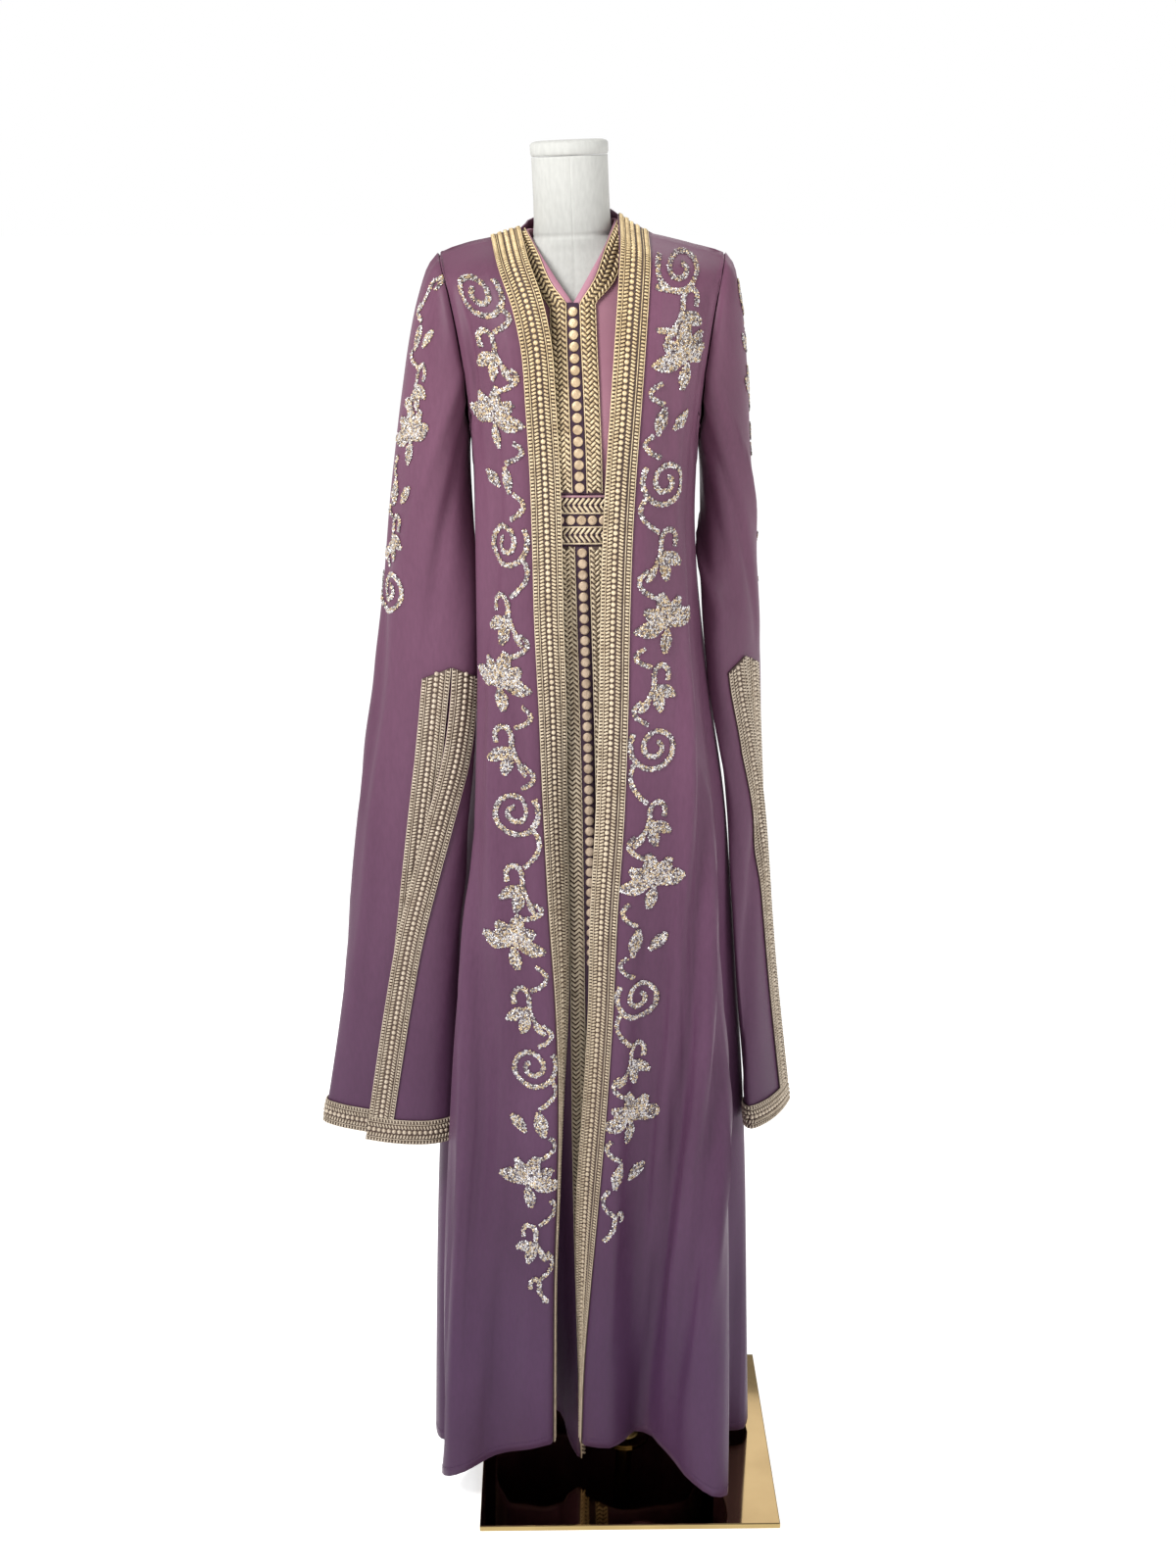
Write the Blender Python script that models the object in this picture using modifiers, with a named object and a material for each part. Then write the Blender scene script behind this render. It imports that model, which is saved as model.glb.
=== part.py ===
"""A two-piece kaftan on a limbless dress form: an open coat over a belted dress.

Metres, +Z up. The front faces -Y. Left and right are those of someone looking at the front.
The origin is the middle of the stand plate's underside.
"""

import math
from collections import namedtuple

import bpy
import numpy as np

# Walls and gaps
CLOTH = 0.0016
BRAID = 0.0016
GAP = 0.0003
SEAM = 0.00035
CREST_SEAM = 0.0011
ARM_SEAM = 0.0014

# Stand
PLATE_SIDE = 0.389
PLATE_THICK = 0.008
POLE_RADIUS = 0.0125
FLANGE_RADIUS = 0.032
FLANGE_HEIGHT = 0.014
LEAN = math.radians(2.45)
FORM_BOTTOM = 0.82
NECK_TOP = 1.700
CAP_RADIUS = 0.0445
CAP_HEIGHT = 0.0175

# Coat
HIP_LEVEL = 1.20
TIP_LEVEL = 1.592
ARMPIT_LEVEL = 1.380
ARMHOLE_REACH = 0.075
TRIM_WIDTH = 0.034
TRIM_BEND = 0.012

# Sleeves
CUFF_LEVEL = 0.495
CUFF_BAND = 0.032
SLIT_TOP = 1.118
SLEEVE_LEVEL = 1.150
SLIT_GABLE = 0.45
GABLE_ROW = 0.030
SLIT_LIFT = 0.0003
CAP_PULL = 0.14
EDGE_INSET = 0.0005
BELT_CLEAR = 0.02

# Dress
BELT_LOW = 1.273
BELT_HIGH = 1.332
NECK_POINT = 1.541
NECK_HALF = 0.052
NECK_EDGE = 0.0015
BUTTON_PITCH = 0.01307
BUTTON_RADIUS = 0.0055
BUTTON_HEIGHT = 0.0028
PLACKET_HALF = 0.0072
BRAID_WIDTH = 0.0180
BUTTONS_ABOVE = 16
BUTTONS_BELOW = 40
BELT_BUTTONS = 5
BELT_BUTTON_PITCH = 0.0125
BUTTON_SIDES = 7
PLACKET_LIFT = 0.0015
BUTTON_FROM_BELT = 0.0066

Section = namedtuple("Section", "z left right front back mid square")
Fold = namedtuple("Fold", "start angle_start angle_hem half_angle depth")
Edge = namedtuple("Edge", "z x turn")
SeamPoint = namedtuple("SeamPoint", "x z")
Hem = namedtuple("Hem", "share z")
SleeveSection = namedtuple("SleeveSection", "z inner_x inner_y outer_x outer_y face rear slit lap step")
Ring = namedtuple("Ring", "z half front back square")
Centre = namedtuple("Centre", "z x")
Arm = namedtuple("Arm", "tip armpit tip_x armpit_x reach")

# Coat body: extents in plan at each height, the depth of its widest line, and how square it is
COAT = [
    Section(0.03, -0.262, 0.171, -0.132, 0.170, 0.020, 2.2),
    Section(0.30, -0.254, 0.162, -0.142, 0.160, 0.025, 2.2),
    Section(0.50, -0.245, 0.154, -0.148, 0.150, 0.025, 2.2),
    Section(0.72, -0.228, 0.137, -0.151, 0.138, 0.020, 2.3),
    Section(0.94, -0.202, 0.118, -0.149, 0.128, 0.010, 2.4),
    Section(1.16, -0.188, 0.085, -0.143, 0.110, 0.000, 2.5),
    Section(1.30, -0.188, 0.075, -0.141, 0.108, 0.000, 2.5),
    Section(1.38, -0.189, 0.077, -0.141, 0.114, 0.000, 2.6),
    Section(1.46, -0.205, 0.092, -0.135, 0.120, 0.000, 2.8),
    Section(1.52, -0.217, 0.103, -0.120, 0.118, 0.000, 2.8),
    Section(1.56, -0.224, 0.108, -0.096, 0.098, 0.000, 2.6),
    Section(1.58, -0.225, 0.108, -0.066, 0.068, 0.000, 2.3),
    Section(1.592, -0.2225, 0.1055, -0.004, 0.006, 0.000, 2.0),
]

# Coat folds: where each starts, its place round the body there and at the hem, and its depth at the hem
COAT_FOLDS = [
    Fold(1.25, -142, -135, 11, 0.064),
    Fold(1.45, -172, -151, 9, -0.060),
    Fold(0.95, -118, -114, 9, 0.010),
    Fold(0.70, -83, -83, 7, 0.008),
    Fold(0.95, -70, -73, 9, -0.046),
    Fold(1.20, -44, -57, 11, 0.082),
    Fold(1.10, -33, -38, 6, -0.014),
    Fold(1.45, -20, -19, 8, -0.036),
    Fold(0.90, 20, 20, 8, 0.014),
    Fold(1.00, 38, 36, 10, 0.024),
    Fold(0.90, 55, 54, 8, -0.018),
    Fold(1.05, 72, 72, 9, 0.026),
    Fold(0.95, 90, 91, 9, -0.022),
    Fold(1.05, 108, 110, 9, 0.028),
    Fold(0.90, 126, 128, 8, -0.018),
    Fold(1.00, 143, 146, 9, 0.022),
    Fold(0.80, 158, 160, 7, -0.010),
]

# Front edges: the trim's outer line, and how far the trim turns into the depth below
LEFT_EDGE = [
    Edge(0.03, -0.100, 90),
    Edge(0.28, -0.097, 90),
    Edge(0.55, -0.090, 82),
    Edge(0.66, -0.092, 70),
    Edge(0.80, -0.099, 50),
    Edge(1.02, -0.109, 28),
    Edge(1.23, -0.116, 0),
    Edge(1.48, -0.123, 0),
    Edge(1.592, -0.156, 0),
]
RIGHT_EDGE = [
    Edge(0.03, -0.062, 90),
    Edge(0.18, -0.060, 84),
    Edge(0.27, -0.053, 68),
    Edge(0.37, -0.046, 52),
    Edge(0.47, -0.039, 35),
    Edge(0.66, -0.026, 30),
    Edge(0.80, -0.020, 22),
    Edge(0.93, -0.012, 0),
    Edge(1.25, -0.004, 0),
    Edge(1.43, 0.004, 0),
    Edge(1.592, 0.010, 0),
]

# Shoulder seams, from the neck to the shoulder tip
COAT_SEAM_LEFT = [
    SeamPoint(-0.129, 1.6197),
    SeamPoint(-0.156, 1.6110),
    SeamPoint(-0.187, 1.6045),
    SeamPoint(-0.2225, 1.592),
]
COAT_SEAM_RIGHT = [
    SeamPoint(-0.017, 1.6345),
    SeamPoint(0.010, 1.6168),
    SeamPoint(0.050, 1.6072),
    SeamPoint(0.1055, 1.592),
]

# Hem heights along each panel, from the free edge or the left side to its other side
COAT_HEM_LEFT = [Hem(0.0, 0.085), Hem(0.25, 0.060), Hem(0.5, 0.030), Hem(0.75, 0.020), Hem(1.0, 0.022)]
COAT_HEM_RIGHT = [Hem(0.0, 0.085), Hem(0.2, 0.078), Hem(0.35, 0.062), Hem(0.6, 0.024), Hem(0.8, 0.022), Hem(1.0, 0.020)]
COAT_HEM_BACK = [Hem(0.0, 0.024), Hem(0.3, 0.022), Hem(0.7, 0.022), Hem(1.0, 0.020)]

# Back neck: how far it stands behind the shoulder line and above it, from left to right
BACK_NECK_REACH = 0.072
BACK_NECK_RISE = 0.012
DRESS_NECK_REACH = 0.050
DRESS_NECK_RISE = -0.003
NECK_SIDE_LEVEL = 1.617

# Dress body and folds
DRESS = [
    Section(0.03, -0.180, 0.108, -0.052, 0.120, 0.030, 2.2),
    Section(0.30, -0.184, 0.106, -0.078, 0.120, 0.020, 2.2),
    Section(0.50, -0.186, 0.104, -0.098, 0.118, 0.010, 2.2),
    Section(0.72, -0.186, 0.100, -0.103, 0.113, 0.010, 2.3),
    Section(0.94, -0.180, 0.092, -0.105, 0.108, 0.008, 2.4),
    Section(1.16, -0.176, 0.068, -0.108, 0.092, 0.000, 2.4),
    Section(1.30, -0.175, 0.061, -0.117, 0.090, 0.000, 2.3),
    Section(1.38, -0.180, 0.065, -0.124, 0.098, 0.000, 2.3),
    Section(1.46, -0.183, 0.065, -0.112, 0.103, 0.000, 2.3),
    Section(1.52, -0.183, 0.061, -0.092, 0.096, 0.000, 2.2),
    Section(1.56, -0.181, 0.055, -0.069, 0.076, 0.000, 2.2),
    Section(1.58, -0.180, 0.048, -0.044, 0.050, 0.000, 2.2),
    Section(1.592, -0.178, 0.040, -0.004, 0.006, 0.000, 2.0),
]
DRESS_FOLDS = [
    Fold(0.62, -98, -100, 5, 0.038),
    Fold(1.00, -140, -142, 10, 0.014),
    Fold(1.00, -40, -42, 10, 0.012),
    Fold(1.10, 20, 18, 10, 0.012),
    Fold(1.10, 60, 60, 12, 0.014),
    Fold(1.10, 120, 120, 12, 0.014),
    Fold(1.10, 160, 158, 10, 0.010),
]
DRESS_CENTRE = [
    Centre(0.03, -0.050),
    Centre(0.50, -0.047),
    Centre(0.85, -0.050),
    Centre(1.13, -0.056),
    Centre(1.27, -0.060),
    Centre(1.34, -0.063),
    Centre(1.541, -0.0695),
    Centre(1.592, -0.0695),
]
DRESS_SEAM_LEFT = [SeamPoint(-0.1215, 1.6180), SeamPoint(-0.150, 1.6065), SeamPoint(-0.177, 1.6015)]
DRESS_SEAM_RIGHT = [SeamPoint(-0.0195, 1.6300), SeamPoint(0.010, 1.6115), SeamPoint(0.039, 1.6045)]
DRESS_TIP = 1.592
DRESS_ARMPIT = 1.400
DRESS_ARM_REACH = 0.060
DRESS_HEM = [Hem(0.0, 0.070), Hem(0.12, 0.030), Hem(0.22, 0.050), Hem(0.4, 0.090), Hem(1.0, 0.090)]
DRESS_HEM_RIGHT = [Hem(0.0, 0.070), Hem(0.2, 0.090), Hem(1.0, 0.090)]
DRESS_HEM_BACK = [Hem(0.0, 0.090), Hem(1.0, 0.090)]

# Sleeves in plan: the fold line next to the body, the outer one, how far the cloth bulges to each side
# of the line between them, the slit's distance from the inner fold, and how far the slit's
# edges lap over each other and stand apart
SLEEVE_LEFT = [
    SleeveSection(0.48, -0.229, -0.060, -0.398, 0.004, 0.030, 0.016, 0.084, 0.012, 0.020),
    SleeveSection(0.74, -0.212, -0.045, -0.359, 0.002, 0.032, 0.012, 0.060, 0.010, 0.013),
    SleeveSection(0.90, -0.198, -0.045, -0.340, 0.000, 0.032, 0.012, 0.044, 0.004, 0.009),
    SleeveSection(1.02, -0.1875, -0.050, -0.324, 0.000, 0.034, 0.012, 0.030, -0.0008, 0.006),
    SleeveSection(1.10, -0.184, -0.052, -0.310, 0.000, 0.036, 0.014, 0.023, -0.0008, 0.001),
    SleeveSection(1.118, -0.1835, -0.052, -0.308, 0.000, 0.036, 0.014, 0.022, 0.000, 0.000),
    SleeveSection(1.16, -0.182, -0.052, -0.302, 0.000, 0.036, 0.016, 0.020, 0.000, 0.000),
]
SLEEVE_RIGHT = [
    SleeveSection(0.48, 0.152, -0.040, 0.216, 0.122, 0.020, 0.006, 0.086, 0.012, 0.020),
    SleeveSection(0.74, 0.131, -0.035, 0.180, 0.092, 0.022, 0.004, 0.066, 0.010, 0.013),
    SleeveSection(0.90, 0.122, -0.030, 0.166, 0.080, 0.024, 0.004, 0.056, 0.004, 0.009),
    SleeveSection(1.02, 0.107, -0.035, 0.158, 0.070, 0.026, 0.006, 0.048, -0.0008, 0.006),
    SleeveSection(1.10, 0.0935, -0.038, 0.154, 0.060, 0.028, 0.010, 0.044, -0.0008, 0.001),
    SleeveSection(1.118, 0.092, -0.038, 0.153, 0.058, 0.028, 0.010, 0.043, 0.000, 0.000),
    SleeveSection(1.16, 0.0885, -0.036, 0.151, 0.052, 0.030, 0.014, 0.040, 0.000, 0.000),
]
SLEEVE_STEPS = (6, 5.5, 5, 4, 3, 2, 1, 0.5, 0, -0.5, -1, -2, -3, -4, -5, -6, -7, -7.5, -8)

# Armholes: shoulder tip and armpit heights, their x, and how far the opening reaches to the front and back
COAT_ARM = {
    -1: Arm(TIP_LEVEL, ARMPIT_LEVEL, -0.2225, -0.1885, ARMHOLE_REACH),
    1: Arm(TIP_LEVEL, ARMPIT_LEVEL, 0.1055, 0.0765, ARMHOLE_REACH),
}
DRESS_ARM = {
    -1: Arm(1.6015, DRESS_ARMPIT, -0.177, -0.183, DRESS_ARM_REACH),
    1: Arm(1.6045, DRESS_ARMPIT, 0.039, 0.066, DRESS_ARM_REACH),
}

# Dress form, in its own upright frame
FORM = [
    Ring(FORM_BOTTOM, 0.116, 0.086, 0.094, 2.3),
    Ring(0.88, 0.124, 0.090, 0.098, 2.3),
    Ring(0.96, 0.126, 0.092, 0.098, 2.3),
    Ring(1.06, 0.115, 0.092, 0.090, 2.3),
    Ring(1.18, 0.100, 0.086, 0.074, 2.3),
    Ring(1.28, 0.106, 0.098, 0.076, 2.2),
    Ring(1.36, 0.114, 0.113, 0.084, 2.2),
    Ring(1.44, 0.115, 0.101, 0.091, 2.2),
    Ring(1.50, 0.114, 0.084, 0.088, 2.2),
    Ring(1.545, 0.110, 0.066, 0.074, 2.2),
    Ring(1.572, 0.099, 0.047, 0.054, 2.2),
    Ring(1.588, 0.079, 0.039, 0.046, 2.1),
    Ring(1.600, 0.060, 0.036, 0.042, 2.1),
    Ring(1.612, 0.0465, 0.036, 0.040, 2.0),
    Ring(1.632, 0.0440, 0.038, 0.041, 2.0),
    Ring(1.660, 0.0435, 0.0410, 0.0435, 2.0),
    Ring(NECK_TOP, 0.0435, 0.0425, 0.0435, 2.0),
]

# Colours, roughness, metallic
LOOKS = {
    "satin": ((0.170, 0.085, 0.155), 0.55, 0.0),
    "dress_satin": ((0.235, 0.110, 0.175), 0.40, 0.0),
    "gold_braid": ((0.430, 0.330, 0.200), 0.50, 0.3),
    "dark_placket": ((0.050, 0.022, 0.045), 0.60, 0.0),
    "linen": ((0.640, 0.610, 0.560), 0.85, 0.0),
    "brass": ((0.360, 0.260, 0.110), 0.12, 1.0),
    "dark_mirror": ((0.030, 0.014, 0.014), 0.06, 0.6),
}

COLUMNS_BODY = 17
COLUMNS_DRESS = 8
ARM_STEPS = 7
COAT_ROWS = (9, 4, 3)
DRESS_ROWS = (8, 2, 5, 3)
PIVOT_SHARE = 0.735
MITRE_SHARE = 0.35
DRESS_ARM_STEPS = 4


def curve(xs, ys, x):
    """Smooth curve through the points (xs, ys) that never swings past them."""
    xs, ys = np.asarray(xs, float), np.asarray(ys, float)
    steps = np.diff(xs)
    slopes = np.diff(ys) / steps
    tangents = np.zeros_like(ys)
    tangents[0], tangents[-1] = slopes[0], slopes[-1]
    product = slopes[:-1] * slopes[1:]
    total = np.where(product > 0, slopes[:-1] + slopes[1:], 1.0)
    tangents[1:-1] = np.where(product > 0, 2 * product / total, 0.0)
    x = np.clip(x, xs[0], xs[-1])
    i = np.clip(np.searchsorted(xs, x, side="right") - 1, 0, len(steps) - 1)
    t = (x - xs[i]) / steps[i]
    rise = (3 - 2 * t) * t * t
    ends = ys[i] * (1 - rise) + ys[i + 1] * rise
    return ends + steps[i] * t * (1 - t) * (tangents[i] * (1 - t) - tangents[i + 1] * t)


def read(rows, column, at):
    """Value of one named column of a table at the height or share `at`."""
    return curve([row[0] for row in rows], [getattr(row, column) for row in rows], at)


def smooth(x):
    x = np.clip(x, 0.0, 1.0)
    return x * x * (3 - 2 * x)


def superellipse(angle, half_x, half_y, square):
    """Point of a rounded box at the angle, in radians."""
    c, s = np.cos(angle), np.sin(angle)
    x = half_x * np.sign(c) * np.abs(c) ** (2 / square)
    y = half_y * np.sign(s) * np.abs(s) ** (2 / square)
    return np.stack([x, y], axis=-1)


def resample(path, distances):
    """Points of a plan path at the given distances from its start."""
    steps = np.hypot(*np.diff(path, axis=0).T)
    along = np.concatenate([[0.0], np.cumsum(steps)])
    return np.stack([np.interp(distances, along, path[:, k]) for k in (0, 1)], axis=-1)


def length(path):
    return float(np.hypot(*np.diff(path, axis=0).T).sum())


def turn_left(vectors):
    return np.stack([-vectors[:, 1], vectors[:, 0]], axis=-1)


def body_ring(sections, folds, z, degrees):
    """Plan points of a body section with its folds; 0 is the right side and 90 the back."""
    left, right, front, back, mid, square = (
        float(read(sections, name, z)) for name in ("left", "right", "front", "back", "mid", "square")
    )
    step = degrees[1] - degrees[0]
    degrees = np.concatenate([[degrees[0] - step], degrees, [degrees[-1] + step]])
    angle = np.radians(degrees)
    half_y = np.where(np.sin(angle) < 0, mid - front, back - mid)
    base = superellipse(angle, (right - left) / 2, half_y, square)
    base += [(left + right) / 2, mid]
    tangent = np.gradient(base, axis=0) * np.sign(step)
    outward = -turn_left(tangent) / np.maximum(np.hypot(*tangent.T), 1e-9)[:, None]
    push = np.zeros(len(degrees))
    for fold in folds:
        grown = np.clip((fold.start - z) / fold.start, 0, 1)
        centre = fold.angle_hem + (fold.angle_start - fold.angle_hem) * (1 - grown)
        apart = (degrees - centre + 180) % 360 - 180
        push += fold.depth * grown**1.25 * np.exp(-np.abs(apart / fold.half_angle) ** 2.6)
    return (base + outward * push[:, None])[1:-1]


def front_path(side, z):
    """Plan path of a coat front at one height, from its free edge to the side seam."""
    edges = LEFT_EDGE if side < 0 else RIGHT_EDGE
    turn = math.radians(float(read(edges, "turn", z)))
    reach = TRIM_BEND * (math.sin(turn) / turn if turn > 1e-6 else 1.0)
    start_x = float(read(edges, "x", z)) + side * reach
    degrees = np.linspace(-180, 0, 361) if side > 0 else np.linspace(0, -180, 361)
    ring = body_ring(COAT, COAT_FOLDS, z, degrees)
    beyond = np.flatnonzero(side * (ring[:, 0] - start_x) > 0)
    ring = ring[beyond[0] :]
    share = np.linspace(0, 1, 13)
    bend = np.minimum(share * (TRIM_WIDTH + TRIM_BEND) / TRIM_BEND, 1.0)
    heading = math.pi / 2 + side * (math.pi / 2 - bend * turn)
    step = (TRIM_WIDTH + TRIM_BEND) / 12
    moves = np.stack([np.cos(heading), np.sin(heading)], axis=-1)
    strip = ring[0] + np.concatenate([[[0, 0]], np.cumsum((moves[1:] + moves[:-1]) / 2 * step, axis=0)])
    return np.concatenate([strip[::-1], ring[1:]])


def front_distances(total, shares):
    """Distances of a coat front's columns from its free edge: the trim, its bend, then the rest."""
    fixed = [0.0, TRIM_WIDTH / 2, TRIM_WIDTH, TRIM_WIDTH + TRIM_BEND / 2]
    rest = TRIM_WIDTH + TRIM_BEND
    return np.concatenate([fixed, rest + (total - rest) * shares])


def armhole(side, angle, inset, arm):
    """Point of an armhole: angle 0 at the shoulder tip, 90 at the front, 180 at the armpit."""
    z = (arm.tip + arm.armpit) / 2 + (arm.tip - arm.armpit) / 2 * np.cos(angle)
    lift = (z - arm.armpit) / (arm.tip - arm.armpit)
    x = arm.armpit_x + (arm.tip_x - arm.armpit_x) * lift**2
    x = x - side * (inset + (CREST_SEAM - SEAM) * np.sign(inset) * np.clip(np.cos(angle), 0, 1) ** 4)
    y = -arm.reach * np.sin(angle) - np.sign(angle) * SEAM * np.abs(np.cos(angle)) ** 4
    return np.stack([x, y, z], axis=-1)


def arm_angle(arm, z):
    """Angle of the armhole's point at a height: 180 at the armpit and below it."""
    return math.acos(np.clip((2 * z - arm.tip - arm.armpit) / (arm.tip - arm.armpit), -1, 1))


def up_to_armhole(path, side, arm, z, inset, behind):
    """Plan path from the middle of the body, bent and cut to end on the armhole at this height."""
    if z <= arm.armpit:
        return path
    end = armhole(side, (-1 if behind else 1) * arm_angle(arm, z), inset, arm)[:2]
    inside = np.flatnonzero(np.abs(path[:, 1]) < abs(end[1]))
    inside = inside[inside > len(path) // 3]
    kept = path[: max(inside[0] if len(inside) else len(path), len(path) // 3)].copy()
    along = np.linspace(0, 1, len(kept))[:, None]
    kept += smooth((along - 0.4) / 0.6) * (end - kept[-1])
    return kept


def seam_points(rows, distances, y):
    """Points of a shoulder seam at distances in x from its neck end."""
    side = np.sign(rows[-1].x - rows[0].x)
    x = rows[0].x + side * distances
    table = sorted(rows)
    z = curve([row.x for row in table], [row.z for row in table], x)
    return np.stack([x, np.full(len(x), y), z], axis=-1)


def hang(columns, hem, levels, pivot, top, counts, tip, upright=math.inf):
    """Grid of points from the hem up: the columns follow columns(z), cross the levels and end on the top edge.

    counts gives the rows between the hem, each level, the pivot and the top. A short column
    has its pivot lower. Above the last level a column that ends at the tip or higher follows
    the plan up to the height where it is next to its end. One that ends above `upright` goes straight up to it.
    """
    last = levels[-1]
    ease = np.minimum(pivot, last + PIVOT_SHARE * (top[:, 2] - last))
    stops = [hem, *(np.full(len(top), level) for level in levels), ease, top[:, 2]]
    tries = np.linspace(last + 0.6 * (tip - last), tip, 30)
    found = np.array([columns(z) for z in tries])
    best = np.hypot(*np.moveaxis(found - top[:, :2], -1, 0)).argmin(axis=0)
    ends = np.where(top[:, 2] >= tip - 1e-6, tries[best], top[:, 2])
    shift = top[:, :2] - np.array([columns(z)[c] for c, z in enumerate(ends)])
    heights = [
        stops[part] + (stops[part + 1] - stops[part]) * k / count
        for part, count in enumerate(counts)
        for k in range(count)
    ]
    heights.append(top[:, 2])
    grid = np.zeros((len(heights), len(top), 3))
    for r, row in enumerate(heights):
        for c, z in enumerate(row):
            share = (z - last) / (top[c, 2] - last)
            reached = z if share < 0 else last + (ends[c] - last) * share
            place = columns(reached)[c]
            move = shift[c].copy()
            if top[c, 2] > upright:
                move[0] = top[c, 0] - place[0]
            grid[r, c, :2] = place + smooth((share - 0.3) / 0.7) * move
            grid[r, c, 2] = z
    return grid


def scaled(shares, arm, z, tip_share):
    """Shares of a panel's columns along a path that ends at the armhole: the column that ends there has 1."""
    if z <= arm.armpit:
        return shares
    return shares / (tip_share + (1 - tip_share) * arm_angle(arm, z) / math.pi)


def coat_front(side):
    shares = np.linspace(0, 1, COLUMNS_BODY + 1)
    seam = COAT_SEAM_LEFT if side < 0 else COAT_SEAM_RIGHT
    seam_length = abs(seam[-1].x - seam[0].x)
    seam_count = len(shares) - ARM_STEPS
    fixed = np.array([0.0, TRIM_WIDTH / 2, TRIM_WIDTH, TRIM_WIDTH + TRIM_BEND / 2])
    rest = TRIM_WIDTH + TRIM_BEND
    along = rest + (seam_length - CREST_SEAM - rest) * np.linspace(0, 1, seam_count)
    top_seam = seam_points(seam, np.concatenate([fixed, along]), -CREST_SEAM)
    angles = math.pi * np.arange(1, ARM_STEPS + 1) / ARM_STEPS
    arm = COAT_ARM[side]
    top = np.concatenate([top_seam, armhole(side, angles, SEAM, arm)])
    hems = COAT_HEM_LEFT if side < 0 else COAT_HEM_RIGHT
    hem = read(hems, "z", np.concatenate([np.zeros(4), shares]))
    tip_share = shares[seam_count - 1]

    def columns(z):
        path = up_to_armhole(front_path(side, z), side, arm, z, SEAM, False)
        inset = SEAM if z <= ARMPIT_LEVEL else 0.0
        return resample(path, front_distances(length(path) - inset, scaled(shares, arm, z, tip_share)))

    return hang(columns, hem, [HIP_LEVEL], TIP_LEVEL, top, COAT_ROWS, TIP_LEVEL)


def back_top(seam_left, seam_right, arms, inset, neck_reach, neck_rise, counts):
    """Top edge of a back panel: armhole, shoulder, neck, shoulder, armhole, from left to right."""
    arm_count, seam_count, neck_count = counts
    down = np.linspace(math.pi, 0, arm_count, endpoint=False)
    left_length = abs(seam_left[-1].x - seam_left[0].x)
    right_length = abs(seam_right[-1].x - seam_right[0].x)
    out_left = np.linspace(left_length - inset, 0, seam_count, endpoint=False)
    out_right = np.linspace(0, right_length - inset, seam_count + 1)[1:]
    left_arm = armhole(-1, -down, SEAM, arms[-1])
    right_arm = armhole(1, -down[::-1], SEAM, arms[1])
    ends = seam_points(seam_left, np.zeros(1), inset)[0], seam_points(seam_right, np.zeros(1), inset)[0]
    turn = np.linspace(0, math.pi, neck_count + 1)
    share = (1 - np.cos(turn)) / 2
    neck = ends[0] + (ends[1] - ends[0]) * share[:, None]
    neck[:, 1] += neck_reach * np.sin(turn)
    neck[:, 2] += neck_rise * np.sin(turn)
    return np.concatenate(
        [left_arm, seam_points(seam_left, out_left, inset), neck, seam_points(seam_right, out_right, inset), right_arm]
    )


def back_columns(sections, folds, arms, count, arm_count):
    """Function that gives the plan points of a back panel's columns at a height."""
    shares = np.linspace(0, 1, count)
    halves = np.abs(shares - 0.5) * 2
    tip_share = halves[arm_count]

    def columns(z):
        path = body_ring(sections, folds, z, np.linspace(180, 0, 361))
        points = np.zeros((count, 2))
        for side, half, chosen in ((-1, path[180::-1], shares <= 0.5), (1, path[180:], shares > 0.5)):
            half = up_to_armhole(half, side, arms[side], z, SEAM, True)
            inset = SEAM if z <= arms[side].armpit else 0.0
            places = scaled(halves[chosen], arms[side], z, tip_share)
            points[chosen] = resample(half, (length(half) - inset) * places)
        return points

    return columns


def coat_back():
    counts = (ARM_STEPS, 3, 6)
    top = back_top(
        COAT_SEAM_LEFT, COAT_SEAM_RIGHT, COAT_ARM, CREST_SEAM, BACK_NECK_REACH, BACK_NECK_RISE, counts
    )
    hem = read(COAT_HEM_BACK, "z", np.linspace(0, 1, len(top)))
    columns = back_columns(COAT, COAT_FOLDS, COAT_ARM, len(top), ARM_STEPS)
    return hang(columns, hem, [HIP_LEVEL], TIP_LEVEL, top, COAT_ROWS, TIP_LEVEL, NECK_SIDE_LEVEL)


def sleeve_ring(side, z, shares):
    """Plan points of a sleeve at one height, from the slit round the outer fold and back to it."""
    rows = SLEEVE_LEFT if side < 0 else SLEEVE_RIGHT
    inner = np.array([read(rows, "inner_x", z), read(rows, "inner_y", z)], float)
    outer = np.array([read(rows, "outer_x", z), read(rows, "outer_y", z)], float)
    face, rear, slit, lap, step = (float(read(rows, n, z)) for n in ("face", "rear", "slit", "lap", "step"))
    width = np.hypot(*(outer - inner))
    along = (outer - inner) / width
    across = side * np.array([along[1], -along[0]])
    at_slit = math.acos(np.clip(1 - 2 * slit / width, -1, 1))
    dense = np.linspace(-lap / width / 2, 1 + lap / width / 2, 240)
    angle = math.pi - at_slit - 2 * math.pi * dense
    c, s = np.cos(angle), np.sin(angle)
    bulge = np.where(s > 0, face, rear)
    spiral = step * (0.5 * smooth((dense - 0.75) / 0.25) - 0.5 * smooth((0.25 - dense) / 0.25))
    reach = bulge * np.sign(s) * np.abs(s) ** 0.85 + spiral
    path = (inner + outer) / 2 + np.outer(c * width / 2, along) + np.outer(reach, across)
    return resample(path, length(path) * shares)


def sleeve_shares(side, z, count):
    """Column places round a sleeve: the two slit bands have their real width."""
    total = length(sleeve_ring(side, z, np.linspace(0, 1, 200)))
    band = TRIM_WIDTH / total
    inner = np.linspace(band, 1 - band, count - 4)
    return np.concatenate([[0, band / 2], inner, [1 - band / 2, 1]])


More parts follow.
